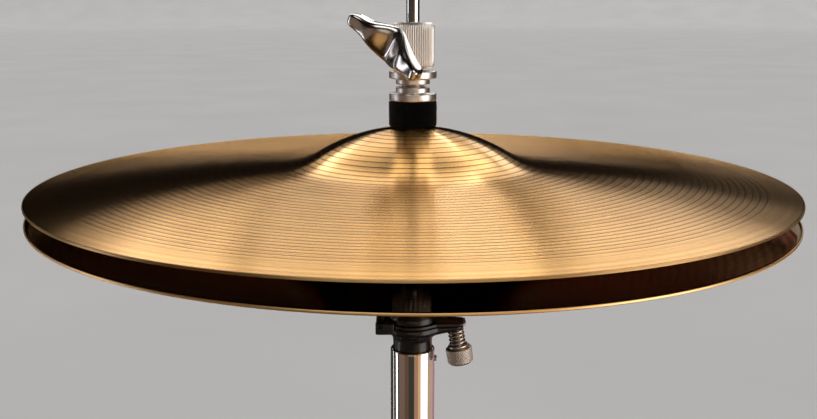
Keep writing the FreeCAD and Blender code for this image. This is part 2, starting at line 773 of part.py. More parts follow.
def tilt_plate():
    """The pressed plate that the tilt screw lifts, with the knuckle that it turns on."""
    body = new_body("tilt_plate")
    disc = new_sketch(body)
    add_circle(disc, 0.0, 0.0, s.tilt_plate_radius)
    pad(body, disc, s.tilt_plate_thickness)
    arm = new_sketch(body)
    half = s.seat_arm_half
    add_loop(arm, [(4.0, -half - 1), (s.tilt_plate_reach - 2, 1.5 - half),
                   (s.tilt_plate_reach, 4 - half), (s.tilt_plate_reach, half - 4),
                   (s.tilt_plate_reach - 2, half - 1.5), (4.0, half + 1)])
    pad(body, arm, s.tilt_plate_thickness)
    tongue = new_sketch(body)
    width = s.tilt_knuckle_width / 2
    add_loop(tongue, box_points(-s.tilt_pivot_reach, -5.0, -width, width))
    pad(body, tongue, s.tilt_plate_thickness)
    knuckle = new_sketch(body, "XZ_Plane")
    pivot = s.tube_top_level + s.tilt_pivot_height - s.tilt_plate_level
    add_circle(knuckle, -s.tilt_pivot_reach, pivot, s.tilt_knuckle_radius)
    pad(body, knuckle, s.tilt_knuckle_width, centred=True)
    bore = new_sketch(body, "XZ_Plane")
    add_circle(bore, -s.tilt_pivot_reach, pivot, s.tilt_pin_radius + 0.08)
    pocket(body, bore, 2 * s.tilt_knuckle_width, centred=True)
    centre = new_sketch(body, "XY_Plane", 3.0)
    add_circle(centre, 0.0, 0.0, s.seat_bore)
    pocket(body, centre, 6.0)
    place(body, z=s.tilt_plate_level)


def seat_cup():
    """The cup under the seat felt, with the sleeve that the bottom cymbal is threaded over."""
    top = s.seat_cup_height
    turn = s.seat_sleeve_top - s.seat_cup_level
    body = turned("seat_cup", [
        (s.seat_bore, 0.0), (s.seat_cup_foot_radius, 0.0), (s.seat_cup_foot_radius, 3.0),
        (s.seat_cup_foot_radius - 2, 6.0), (s.seat_cup_foot_radius - 2, top - 9),
        (s.seat_cup_radius, top - 3), (s.seat_cup_radius, top), (s.seat_sleeve_radius, top),
        (s.seat_sleeve_radius, turn), (s.seat_bore, turn)])
    place(body, z=s.seat_cup_level)


def tilt_screw():
    """The leaning screw, its knurled knob, spring and washer; local +Z points up the screw."""
    lean = about_y(-s.tilt_screw_lean)
    reach, level = s.tilt_screw_reach, s.tilt_screw_level

    def along(obj, height):
        """Places a piece on the screw's axis, a height above the arm's underside."""
        return place(obj, reach - height * sine(s.tilt_screw_lean), 0.0,
                     level + height * cosine(s.tilt_screw_lean), lean)

    knob_foot = -s.tilt_spring_height - s.tilt_knob_height
    screw = shaft("tilt_screw", s.tilt_screw_radius, s.tilt_screw_length, 0.4)
    along(screw, knob_foot + 0.5)
    knob = ring("tilt_knob", s.tilt_screw_radius, s.tilt_knob_radius, s.tilt_knob_height,
                s.tilt_knob_bevel)
    along(knob, knob_foot)
    sheet = 0.7
    washer = ring("tilt_washer", s.tilt_screw_radius + BORE_PLAY, s.tilt_spring_radius + 2 * sheet, sheet)
    along(washer, -s.tilt_spring_height + 0.05)
    spring = coil("tilt_spring", s.tilt_spring_radius, s.tilt_spring_wire,
                  s.tilt_spring_height - sheet - 0.1, s.tilt_spring_pitch)
    along(spring, -s.tilt_spring_height + sheet + 0.15 + s.tilt_spring_wire)


def seat():
    seat_base()
    tilt_plate()
    seat_cup()
    tilt_screw()
    pad_felt = ring("seat_felt", s.seat_sleeve_radius + FELT_GAP, s.seat_felt_radius, s.seat_felt_height)
    place(pad_felt, z=s.seat_cup_level + s.seat_cup_height + BORE_PLAY)
    pin = shaft("tilt_pin", s.tilt_pin_radius, s.tilt_pin_length, 0.2)
    place(pin, -s.tilt_pivot_reach, s.tilt_pin_length / 2, s.tube_top_level + s.tilt_pivot_height, about_x(90))
    screw = shaft("seat_set_screw", s.set_screw_radius, s.set_screw_length, EDGE_BREAK)
    wall = s.upper_tube_radius - s.upper_tube_wall
    place(screw, wall - 0.9, 0.0, s.tube_top_level - s.set_screw_drop, about_y(90))


# ---------------------------------------------------------------- tubes and clamp

def upper_tube():
    outer, inner = s.upper_tube_radius, s.upper_tube_radius - s.upper_tube_wall
    length = s.tube_top_level - s.upper_tube_foot
    edge = 0.5
    body = turned("upper_tube", [
        (inner, 0.0), (outer, 0.0), (outer, length - edge), (outer - edge, length),
        (inner, length)])
    hole = new_sketch(body, "YZ_Plane")
    add_circle(hole, 0.0, length - s.set_screw_drop, s.set_screw_radius)
    pocket(body, hole, outer + 1, backwards=True)
    place(body, z=s.upper_tube_foot)


def lower_tube():
    outer, inner = s.lower_tube_radius, s.lower_tube_radius - s.lower_tube_wall
    body = ring("lower_tube", inner, outer, s.lower_tube_top - s.lower_tube_foot)
    cross_hole(body, s.clamp_level + s.clamp_screw_height - s.lower_tube_foot, outer + 1)
    place(body, z=s.lower_tube_foot, rotation=about_z(s.clamp_wing_azimuth))


def radial_boss(body, radius, height, reach):
    """A round boss along the body's +X axis that carries a wing screw."""
    boss = new_sketch(body, "YZ_Plane", radius - 4)
    add_circle(boss, 0.0, height, s.wing_boss + 1)
    pad(body, boss, reach + 4)
    cross_hole(body, height, radius + reach + 2)


def height_clamp():
    """The casting at the lower tube's top, which stops the nylon bush and carries the wing bolt."""
    body = new_body("height_clamp")
    tube_end = s.lower_tube_top - s.clamp_level
    flange = tube_end + 2.2
    slide = s.upper_tube_radius + 0.4
    bevel = 1.5
    revolve(body, [
        (s.lower_tube_radius, 0.0), (s.clamp_radius - bevel, 0.0), (s.clamp_radius, bevel),
        (s.clamp_radius, s.clamp_height - 4), (s.clamp_radius - 4, s.clamp_height),
        (slide, s.clamp_height), (slide, flange), (s.lower_tube_radius, flange)])
    radial_boss(body, s.clamp_radius, s.clamp_screw_height, CLAMP_BOSS)
    place(body, z=s.clamp_level, rotation=about_z(s.clamp_wing_azimuth))
    radial_screw("clamp_wing_screw", s.clamp_radius + CLAMP_BOSS,
                 s.clamp_level + s.clamp_screw_height,
                 s.clamp_wing_azimuth, 60.0)
    inner = s.upper_tube_radius + s.running_gap
    wall = s.lower_tube_radius - s.lower_tube_wall
    bush = turned("height_bush", [
        (inner, 0.0), (wall, 0.0), (wall, s.bush_length), (s.lower_tube_radius, s.bush_length),
        (s.lower_tube_radius, s.bush_length + 2), (inner, s.bush_length + 2)])
    place(bush, z=s.lower_tube_top - s.bush_length)


# ---------------------------------------------------------------- legs

LEG_LENGTH = (s.leg_pivot_level - s.foot_radius) / cosine(s.leg_lean)


def leg_linkage():
    """Finds the pivot on the leg and the brace's length from the open and folded positions."""
    open_drop = s.leg_pivot_level - s.brace_pivot_level
    fold_drop = open_drop + s.collar_rise
    spread = 2 * (fold_drop * cosine(s.leg_lean_folded) - open_drop * cosine(s.leg_lean))
    pivot = (fold_drop * fold_drop - open_drop * open_drop) / spread
    out = pivot * sine(s.leg_lean)
    rise = open_drop - pivot * cosine(s.leg_lean)
    length = Dim(math.hypot(out, rise), "sqrt(%s ^ 2 + %s ^ 2)" % (out.text, rise.text))
    lean = math.degrees(math.atan2(out, rise))
    folded_out = pivot * sine(s.leg_lean_folded)
    folded_rise = fold_drop - pivot * cosine(s.leg_lean_folded)
    folded = math.degrees(math.atan2(folded_out, folded_rise))
    return pivot, length, lean, folded


LEG_PIVOT, BRACE_LENGTH, BRACE_LEAN, BRACE_FOLDED = leg_linkage()


def leg_place(obj, azimuth):
    """Hangs a piece of a leg on the collar: its local origin is the leg's own pivot."""
    turn = about_z(azimuth) * about_y(-s.leg_lean)
    reach = s.leg_pivot_radius
    return place(obj, reach * cosine(azimuth), reach * sine(azimuth), s.leg_pivot_level, turn)


def leg(number, azimuth):
    """Two flat bars side by side, joined by a solid web near the foot."""
    body = new_body("leg_%d" % number)
    half = s.leg_width / 2
    outer = s.leg_half_gap + s.leg_bar
    side = new_sketch(body, "XZ_Plane")
    add_loop(side, [(-half, 3.0), (3 - half, 8.0), (half - 3, 8.0), (half, 3.0),
                    (half, -LEG_LENGTH), (-half, -LEG_LENGTH)])
    pad(body, side, 2 * outer, centred=True)
    gap = new_sketch(body, "YZ_Plane")
    add_loop(gap, box_points(-s.leg_half_gap, s.leg_half_gap, s.leg_web_length - LEG_LENGTH, 12.0))
    pocket(body, gap, 2 * s.leg_width, centred=True)
    for height, radius in ((0.0, s.pin_radius + BORE_PLAY), (-LEG_PIVOT, s.pin_radius)):
        bore = new_sketch(body, "XZ_Plane")
        add_circle(bore, 0.0, height, radius)
        pocket(body, bore, 4 * outer, centred=True)
    leg_place(body, azimuth)


def leg_foot(number, azimuth):
    """The rubber boot on a leg's end, round underneath."""
    body = new_body("leg_foot_%d" % number)
    block = new_sketch(body, "XZ_Plane")
    radius, cover = s.foot_radius, s.foot_cover
    add_loop(block, box_points(-radius, radius, -LEG_LENGTH, cover - LEG_LENGTH))
    pad(body, block, 2 * s.foot_half_width, centred=True)
    sole = new_sketch(body, "XZ_Plane")
    add_circle(sole, 0.0, -LEG_LENGTH, radius)
    pad(body, sole, 2 * s.foot_half_width, centred=True)
    socket = new_sketch(body, "XZ_Plane")
    half = s.leg_width / 2
    add_loop(socket, box_points(-half, half, -LEG_LENGTH, cover + 2 - LEG_LENGTH))
    pocket(body, socket, 2 * (s.leg_half_gap + s.leg_bar), centred=True)
    leg_place(body, azimuth)


def headed_pin(outer, start=0.0):
    """Corner points of half a headed pin: shank from start to the bar's face, then its head."""
    head = outer + HEAD_GAP
    return [(0.0, start), (s.pin_radius, start), (s.pin_radius, head), (s.pin_head_radius, head),
            (s.pin_head_radius - 0.6, head + s.pin_head_height), (0.0, head + s.pin_head_height)]


def pin_group(name, places, outer, start=0.0):
    """One node of headed pins: each is turned, mirrored and moved by Part's own functions."""
    corners = [FreeCAD.Vector(float(r), 0, float(z)) for r, z in headed_pin(outer, start)]
    face = Part.Face(Part.makePolygon(corners + corners[:1]))
    half = face.revolve(FreeCAD.Vector(), UP, 360)
    mirrored = half.mirror(FreeCAD.Vector(), UP)
    pieces = [half, mirrored] if start else [half.fuse(mirrored).removeSplitter()]
    shapes = []
    for spot in places:
        for piece in pieces:
            copy = piece.copy()
            copy.Placement = spot.multiply(copy.Placement)
            shapes.append(copy)
    node = doc.addObject("Part::Feature", name)
    node.Shape = Part.makeCompound(shapes)
    return keep(node, name)


def pivot_spot(radius, level, azimuth):
    """The place of a pin that lies across a leg's plane."""
    centre = about_z(azimuth).multVec(FreeCAD.Vector(float(radius), 0, float(level)))
    return FreeCAD.Placement(centre, about_z(azimuth) * about_x(90))


def collar(name, height, bore, half, fork=None, wing=False):
    """A ring round the lower tube with three lugs, plain or forked, for the legs or the braces.

    The first lug points along -X, so a wing screw's boss along +X lies between the other two.
    """
    body = new_body(name)
    edge, reach = 1.2, s.leg_pivot_radius
    top = height / 2
    revolve(body, [(bore, -top), (s.collar_radius - edge, -top), (s.collar_radius, edge - top),
                   (s.collar_radius, top - edge), (s.collar_radius - edge, top), (bore, top)])
    if wing:
        radial_boss(body, s.collar_radius, 0.0, COLLAR_BOSS)
    tall = s.lug_height / 2
    side = new_sketch(body, "XZ_Plane")
    root, tip = 18.0, reach + 6.5
    add_loop(side, [(-root, -tall), (-root, tall), (-reach - 2, tall), (-tip, tall - 2),
                    (-tip, 2 - tall), (-reach - 2, -tall)])
    lug = pad(body, side, 2 * half, centred=True)
    eye = new_sketch(body, "XZ_Plane")
    add_circle(eye, -reach, 0.0, s.pin_radius)
    cuts = [pocket(body, eye, 4 * half, centred=True)]
    if fork:
        gap = new_sketch(body, "XZ_Plane")
        add_loop(gap, box_points(-reach - 12, -s.collar_radius - 1, -tall - 2, tall + 2))
        cuts.append(pocket(body, gap, 2 * fork, centred=True))
    pattern(body, [lug] + cuts, len(LEG_AZIMUTHS))
    return body


def brace(number, azimuth):
    """A flat bar that runs up between a leg's two bars; its local origin is its lower pivot."""
    body = new_body("brace_%d" % number)
    half = s.brace_width / 2
    web = new_sketch(body, "XZ_Plane")
    add_loop(web, box_points(-half, half, 0.0, BRACE_LENGTH))
    pad(body, web, 2 * s.brace_half, centred=True)
    for height in (0.0, BRACE_LENGTH):
        end = new_sketch(body, "XZ_Plane")
        add_circle(end, 0.0, height, half)
        pad(body, end, 2 * s.brace_half, centred=True)
    for height in (0.0, BRACE_LENGTH):
        bore = new_sketch(body, "XZ_Plane")
        add_circle(bore, 0.0, height, s.pin_radius + BORE_PLAY)
        pocket(body, bore, 6 * s.brace_half, centred=True)
    reach = s.leg_pivot_radius
    turn = about_z(azimuth) * about_y(BRACE_LEAN)
    place(body, reach * cosine(azimuth), reach * sine(azimuth), s.brace_pivot_level, turn)


def legs():
    outer = s.leg_half_gap + s.leg_bar
    reach = s.leg_pivot_radius
    for number, azimuth in enumerate(LEG_AZIMUTHS, start=1):
        leg(number, azimuth)
        leg_foot(number, azimuth)
        brace(number, azimuth)
        out = reach + LEG_PIVOT * sine(s.leg_lean)
        height = s.leg_pivot_level - LEG_PIVOT * cosine(s.leg_lean)
        pin_group("leg_rivets_%d" % number, [pivot_spot(out, height, azimuth)],
                  outer - HEAD_GAP, s.leg_half_gap)
    pin_group("leg_pins", [pivot_spot(reach, s.leg_pivot_level, a) for a in LEG_AZIMUTHS], outer)
    pin_group("brace_pins", [pivot_spot(reach, s.brace_pivot_level, a) for a in LEG_AZIMUTHS],
              s.fork_half - HEAD_GAP)
    slide = s.lower_tube_radius + s.running_gap
    first = about_z(LEG_AZIMUTHS[0] - 180)
    leg_collar = collar("leg_collar", s.collar_height, slide, s.lug_half, wing=True)
    place(leg_collar, z=s.leg_pivot_level, rotation=first)
    radial_screw("collar_wing_screw", s.collar_radius + COLLAR_BOSS, s.leg_pivot_level,
                 s.collar_wing_azimuth, 90.0)
    brace_collar = collar("brace_collar", s.brace_collar_height, s.lower_tube_radius, s.fork_half,
                          fork=s.fork_gap)
    place(brace_collar, z=s.brace_pivot_level, rotation=first)


# ---------------------------------------------------------------- base frame and pedal

def base_frame():
    """The cast yoke: two uprights over the pedal, bridged by the hub that holds the lower tube."""
    body = new_body("base_frame")
    floor = s.pad_thickness + s.plate_thickness
    side = new_sketch(body, "XZ_Plane")
    step = floor + s.frame_foot_height
    right = [(s.frame_inner, floor), (s.frame_foot, floor), (s.frame_foot, step),
             (s.frame_outer, step), (s.frame_outer, s.frame_shoulder),
             (s.hub_radius + 4, s.frame_crown)]
    left = [(-x, z) for x, z in reversed(right)]
    arch = [(-s.frame_inner, s.frame_shoulder - 6), (6 - s.hub_radius, s.frame_ceiling),
            (s.hub_radius - 6, s.frame_ceiling), (s.frame_inner, s.frame_shoulder - 6)]
    add_loop(side, right + left + arch)
    pad(body, side, s.frame_depth, centred=True)
    round_faces(body, "y", 2.0)
    doc.recompute()
    hub = new_sketch(body, "XY_Plane", s.frame_ceiling)
    add_circle(hub, 0.0, 0.0, s.hub_radius)
    pad(body, hub, s.hub_top - s.frame_ceiling)
    rod_way = new_sketch(body, "XY_Plane", s.frame_ceiling - 1)
    add_circle(rod_way, 0.0, 0.0, s.lower_tube_radius - s.lower_tube_wall)
    pocket(body, rod_way, s.hub_top, backwards=True)
    socket = new_sketch(body, "XY_Plane", s.lower_tube_foot)
    add_circle(socket, 0.0, 0.0, s.lower_tube_radius)
    pocket(body, socket, s.hub_top, backwards=True)
    holes = new_sketch(body, "XY_Plane", floor - 1)
    for x in (-s.screw_reach, s.screw_reach):
        for y in (-s.screw_spread, s.screw_spread):
            add_circle(holes, x, y, s.screw_radius)
    pocket(body, holes, 2 * s.frame_foot_height, backwards=True)
    place(body)


def base_plate():
    body = new_body("base_plate")
    sheet = new_sketch(body)
    wide, depth = s.frame_foot + 2, s.frame_depth / 2 + 8
    neck, back = s.board_half_heel + 2, s.heel_back + 4
    right = [(wide, depth), (wide, -depth), (neck, -depth - 30), (neck, -s.heel_reach + 10),
             (s.heel_half + 4, -s.heel_reach - 10), (s.heel_half + 4, 6 - back),
             (s.heel_half - 2, -back)]
    add_loop(sheet, right + [(-x, y) for x, y in reversed(right)])
    pad(body, sheet, s.plate_thickness)
    holes = new_sketch(body, "XY_Plane", -1.0)
    for x in (-s.screw_reach, s.screw_reach):
        for y in (-s.screw_spread, s.screw_spread):
            add_circle(holes, x, y, s.screw_radius)
    pocket(body, holes, 2 * s.plate_thickness, backwards=True)
    place(body, z=s.pad_thickness)


def sole_pad(name, half_x, half_y, y):
    body = new_body(name)
    outline = new_sketch(body)
    cut = 5.0
    right = [(half_x, half_y - cut), (half_x, cut - half_y), (half_x - cut, -half_y)]
    left = [(-x, -yy) for x, yy in right]
    add_loop(outline, [(half_x - cut, half_y)] + right + [(cut - half_x, -half_y)] + left[:2])
    pad(body, outline, s.pad_thickness)
    place(body, y=y)


def frame_screws():
    """Four cap screws through the yoke's feet, drawn once and copied by Part's own functions."""
    deep = float(s.plate_thickness + s.frame_foot_height)
    shank = Part.makeCylinder(float(s.screw_radius), deep)
    head = Part.makeCylinder(float(s.screw_head_radius), float(s.screw_head_height))
    head.translate(UP * deep)
    rim = [e for e in head.Edges if abs(e.BoundBox.ZMin - head.BoundBox.ZMax) < SLIVER]
    head = head.makeChamfer(0.6, rim)
    drive_half, drive_floor = 1.7, 1.2
    corner = FreeCAD.Vector(-drive_half, -drive_half, deep + drive_floor)
    socket = Part.makeBox(2 * drive_half, 2 * drive_half, 2.0, corner)
    screw = shank.fuse(head).cut(socket)
    shapes = []
    for x in (-s.screw_reach, s.screw_reach):
        for y in (-s.screw_spread, s.screw_spread):
            copy = screw.copy()
            copy.translate(FreeCAD.Vector(float(x), float(y), 0))
            shapes.append(copy)
    node = doc.addObject("Part::Feature", "frame_screws")
    node.Shape = Part.makeCompound(shapes)
    place(keep(node, "frame_screws"), z=s.pad_thickness)


def heel_plate():
    """The heel rest and its two cheeks, which hold the footboard's hinge pin."""
    body = new_body("heel_plate")
    floor = s.pad_thickness + s.plate_thickness
    back, hinge = s.heel_back, s.heel_reach
    front = hinge + 12
    wedge = new_sketch(body, "YZ_Plane")
    add_loop(wedge, [(-back, floor), (-back, floor + 8), (-front, s.heel_level - 2),
                     (-hinge - 8, s.heel_level + 8), (8 - hinge, s.heel_level + 8),
                     (12 - hinge, s.heel_level), (16 - hinge, floor)])
    pad(body, wedge, 2 * s.heel_half, centred=True)
    inner = s.heel_half - s.heel_cheek
    bay = new_sketch(body, "YZ_Plane")
    add_loop(bay, box_points(-front, 20 - hinge, floor - 2, s.heel_level + 12))
    pocket(body, bay, 2 * inner, centred=True)
    under = new_sketch(body, "YZ_Plane")
    skin = s.heel_skin
    add_loop(under, [(4 - back, floor - 1), (4 - back, floor + 8 - skin + 1),
                     (-front + 1, s.heel_level - 2 - skin), (-front + 1, floor - 1)])
    pocket(body, under, 2 * inner, centred=True)
    bore = new_sketch(body, "YZ_Plane")
    add_circle(bore, -hinge, s.heel_level, s.hinge_pin_radius)
    pocket(body, bore, 3 * s.heel_half, centred=True)
    place(body)


def footboard():
    """The treadle: local +Y runs from the heel hinge to the toe, +Z is its tread."""
    body = new_body("footboard")
    half = s.board_thickness / 2
    tread = new_sketch(body, "XY_Plane", -half)
    toe, heel = s.board_half_toe, s.board_half_heel
    right = [(heel - 2, s.board_start), (toe, s.board_widest), (toe, s.board_toe - 12), (toe - 8, s.board_toe)]
    add_loop(tread, right + [(-x, y) for x, y in reversed(right)])
    pad(body, tread, s.board_thickness)
    knuckle = new_sketch(body, "YZ_Plane")
    add_circle(knuckle, 0.0, 0.0, s.hinge_knuckle_radius)
    width = 2 * (s.heel_half - s.heel_cheek) - 1.0
    pad(body, knuckle, width, centred=True)
    web = new_sketch(body, "YZ_Plane")
    add_loop(web, box_points(0.0, s.board_start + 3, -half, half))
    pad(body, web, width - 4, centred=True)
    arm = Dim(math.hypot(s.heel_reach, s.toe_pin_level - s.heel_level),
              "sqrt(%s ^ 2 + %s ^ 2)" % (s.heel_reach.text, (s.toe_pin_level - s.heel_level).text))
    cheeks = new_sketch(body, "YZ_Plane")
    tall = s.toe_cheek_height / 2
    add_loop(cheeks, [(s.board_toe - 20, -half), (arm + 2, -tall), (arm + 6, -3.0), (arm + 6, 3.0),
                      (arm + 2, tall), (s.board_toe - 20, half)])
    pad(body, cheeks, 2 * s.toe_cheek_half, centred=True)
    slot = new_sketch(body, "YZ_Plane")
    add_loop(slot, box_points(s.board_toe + 4, arm + 12, -12.0, 12.0))
    pocket(body, slot, 2 * (s.link_half_thickness + 0.5), centred=True)
    for place_y, radius in ((0.0, s.hinge_pin_radius + BORE_PLAY), (arm, s.toe_pin_radius)):
        bore = new_sketch(body, "YZ_Plane")
        add_circle(bore, place_y, 0.0, radius)
        pocket(body, bore, 4 * toe, centred=True)
    rib = new_sketch(body, "XY_Plane", half - 0.5)
    add_loop(rib, box_points(6 - heel, heel - 6, s.rib_start, s.rib_start + s.rib_width))
    ribs = pad(body, rib, s.rib_height + 0.5)
    doc.recompute()
    row = body.newObject("PartDesign::LinearPattern", "footboard_ribs")
    row.Originals = [ribs]
    row.Direction = (rib, ["V_Axis"])
    row.Occurrences = RIB_COUNT
    bind(row, "Length", s.rib_pitch * (RIB_COUNT - 1))
    body.Tip = row
    rise = math.degrees(math.atan2(s.toe_pin_level - s.heel_level, s.heel_reach))
    place(body, 0.0, -s.heel_reach, s.heel_level, about_x(rise))


def base():
    base_frame()
    base_plate()
    sole_pad("sole_pad", s.frame_foot - 2, s.frame_depth / 2 + 6, 0.0)
    sole_pad("heel_pad", s.heel_half, s.heel_pad_half, s.heel_pad_half + 6 - s.heel_back)
    frame_screws()
    heel_plate()
    footboard()
    pin = shaft("hinge_pin", s.hinge_pin_radius, 2 * s.heel_half + 2, 0.4)
    place(pin, -s.heel_half - 1, -s.heel_reach, s.heel_level, about_y(90))


# ---------------------------------------------------------------- build and write

def check(obj):
    shape = obj.Shape
    if {"Invalid", "Error"} & set(obj.State) or shape.isNull() or not shape.isValid():
        raise RuntimeError("%s has no sound shape: %s" % (obj.Label, obj.State))
    if not shape.Solids:
        raise RuntimeError("%s has no solid" % obj.Label)


def main():
    cymbals()
    clutch()
    drive()
    seat()
    upper_tube()
    lower_tube()
    height_clamp()
    legs()
    base()
    doc.recompute()
    failed = [o.Label for o in doc.Objects if {"Invalid", "Error"} & set(o.State)]
    if failed:
        raise RuntimeError("failed objects: %s" % failed)
    os.makedirs("parts", exist_ok=True)
    for obj in parts:
        check(obj)
    for obj in parts:
        obj.Shape.exportStep("parts/%s.step" % obj.Label)
    print("%d sub-parts; leg %.1f mm, pivot on the leg at %.2f mm, brace %.2f mm, brace lean %.2f to %.2f"
          % (len(parts), LEG_LENGTH, LEG_PIVOT, BRACE_LENGTH, BRACE_LEAN, BRACE_FOLDED))


main()
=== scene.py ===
import json
import math
import random

import bmesh
import bpy
from mathutils import Matrix, Vector


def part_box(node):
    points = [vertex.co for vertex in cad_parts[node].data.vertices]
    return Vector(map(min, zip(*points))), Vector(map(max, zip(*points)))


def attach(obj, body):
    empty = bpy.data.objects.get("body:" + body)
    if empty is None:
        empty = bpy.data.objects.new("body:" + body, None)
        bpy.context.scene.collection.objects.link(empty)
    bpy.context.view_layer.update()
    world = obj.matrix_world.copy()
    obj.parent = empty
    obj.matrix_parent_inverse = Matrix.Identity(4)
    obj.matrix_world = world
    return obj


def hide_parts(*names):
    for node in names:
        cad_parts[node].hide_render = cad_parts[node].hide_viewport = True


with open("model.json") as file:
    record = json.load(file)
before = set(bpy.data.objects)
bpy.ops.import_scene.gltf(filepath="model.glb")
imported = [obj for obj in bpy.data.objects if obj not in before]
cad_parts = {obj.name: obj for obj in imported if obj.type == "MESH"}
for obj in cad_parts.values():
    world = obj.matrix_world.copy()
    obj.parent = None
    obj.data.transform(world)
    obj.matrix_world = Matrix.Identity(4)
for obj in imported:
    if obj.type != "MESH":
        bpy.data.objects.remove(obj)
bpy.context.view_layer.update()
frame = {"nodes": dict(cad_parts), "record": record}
MM = 0.001
MERGE_DISTANCE = 1e-7


# ------------------------------------------------------------------ mesh helpers

def node_span(node):
    """Lowest and highest corner of a CAD node, in metres."""
    low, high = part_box(node)
    return Vector(low), Vector(high)


def add_mesh(name, vertices, faces, body, nodes, material, smooth_angle=40, marks=None):
    """Makes a piece from vertices and faces, smooths it and ties it to its body and CAD node.

    marks holds one number per vertex, which a material can read as the attribute "cut".
    """
    mesh = bpy.data.meshes.new(name)
    mesh.from_pydata([tuple(v) for v in vertices], [], faces)
    if marks:
        mesh.attributes.new("cut", "FLOAT", "POINT").data.foreach_set("value", marks)
    mesh.update()
    piece = bpy.data.objects.new(name, mesh)
    bpy.context.collection.objects.link(piece)
    edit = bmesh.new()
    edit.from_mesh(mesh)
    bmesh.ops.remove_doubles(edit, verts=edit.verts, dist=MERGE_DISTANCE)
    bmesh.ops.recalc_face_normals(edit, faces=edit.faces)
    limit = math.radians(smooth_angle)
    for edge in edit.edges:
        edge.smooth = len(edge.link_faces) != 2 or edge.calc_face_angle(0) < limit
    for face in edit.faces:
        face.smooth = True
    edit.to_mesh(mesh)
    edit.free()
    mesh.materials.append(material)
    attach(piece, body)
    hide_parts(*nodes)
    return piece


def rounded(points, radius, steps=4):
    """Rounds the corners of an open (r, z) outline; an arc takes less than half of a side."""
    share = 2.2
    out = [points[0]]
    for before, corner, after in zip(points, points[1:], points[2:]):
        a, c, b = Vector(before), Vector(corner), Vector(after)
        reach = min(radius, (a - c).length / share, (b - c).length / share)
        start, end = c + (a - c).normalized() * reach, c + (b - c).normalized() * reach
        for i in range(steps + 1):
            k = i / steps
            out.append(tuple((1 - k) ** 2 * start + 2 * k * (1 - k) * c + k * k * end))
    out.append(points[-1])
    return out


def ring_faces(copies, count):
    """Faces between neighbouring copies of a closed outline, with the last copy joined to the first."""
    faces = []
    for i in range(copies):
        j = (i + 1) % copies
        for k in range(count):
            m = (k + 1) % count
            faces.append((i * count + k, j * count + k, j * count + m, i * count + m))
    return faces


def sleeve_faces(copies, count):
    """Faces between neighbouring copies of a closed loop, with a cap on the first and the last."""
    faces = []
    for i in range(copies - 1):
        for j in range(count):
            k = (j + 1) % count
            faces.append((i * count + j, i * count + k, (i + 1) * count + k, (i + 1) * count + j))
    faces.append(tuple(range(count)))
    faces.append(tuple(range((copies - 1) * count, copies * count)))
    return faces


def lathe_grid(outline, segments, shape=None):
    """Vertices and faces of a closed outline turned round Z; shape(r, z, angle) may move points."""
    vertices = []
    for i in range(segments):
        angle = 2 * math.pi * i / segments
        for r, z in outline:
            if shape:
                r, z = shape(r, z, angle)
            vertices.append((r * math.cos(angle), r * math.sin(angle), z))
    return vertices, ring_faces(segments, len(outline))


def moved(vertices, matrix):
    """The vertices after a change of place."""
    return [matrix @ Vector(v) for v in vertices]


def tube_along(path, radius, sides=12):
    """A round wire that follows a list of points and is closed at both ends."""
    vertices = []
    normal = None
    for i, point in enumerate(path):
        ahead = path[min(i + 1, len(path) - 1)] - path[max(i - 1, 0)]
        tangent = ahead.normalized()
        if normal is None:
            normal = tangent.orthogonal().normalized()
        normal = (normal - tangent * normal.dot(tangent)).normalized()
        side = tangent.cross(normal)
        for j in range(sides):
            angle = 2 * math.pi * j / sides
            vertices.append(point + (normal * math.cos(angle) + side * math.sin(angle)) * radius)
    return vertices, sleeve_faces(len(path), sides)


def block(x0, x1, y0, y1, z0, z1, soft):
    """A box in millimetres with rounded upright corners and bevelled ends."""
    rows, bevel = 4, 0.45
    corners = ((x1 - soft, y1 - soft, 0), (x0 + soft, y1 - soft, 90), (x0 + soft, y0 + soft, 180),
               (x1 - soft, y0 + soft, 270))
    loop = []
    for cx, cy, start in corners:
        for k in range(rows + 1):
            a = math.radians(start + 90 * k / rows)
            loop.append((cx, cy, math.cos(a), math.sin(a)))
    ends = [(z0, bevel), (z0 + soft * bevel, 1.0), (z1 - soft * bevel, 1.0), (z1, bevel)]
    vertices = [Vector((cx + c * soft * grow, cy + d * soft * grow, z)) * MM
                for z, grow in ends for cx, cy, c, d in loop]
    return vertices, sleeve_faces(len(ends), len(loop))


def merged(*parts):
    """Joins several (vertices, faces) pairs into one."""
    vertices, faces = [], []
    for part_vertices, part_faces in parts:
        base = len(vertices)
        vertices.extend(part_vertices)
        faces.extend(tuple(index + base for index in face) for face in part_faces)
    return vertices, faces


# ------------------------------------------------------------------ material helpers

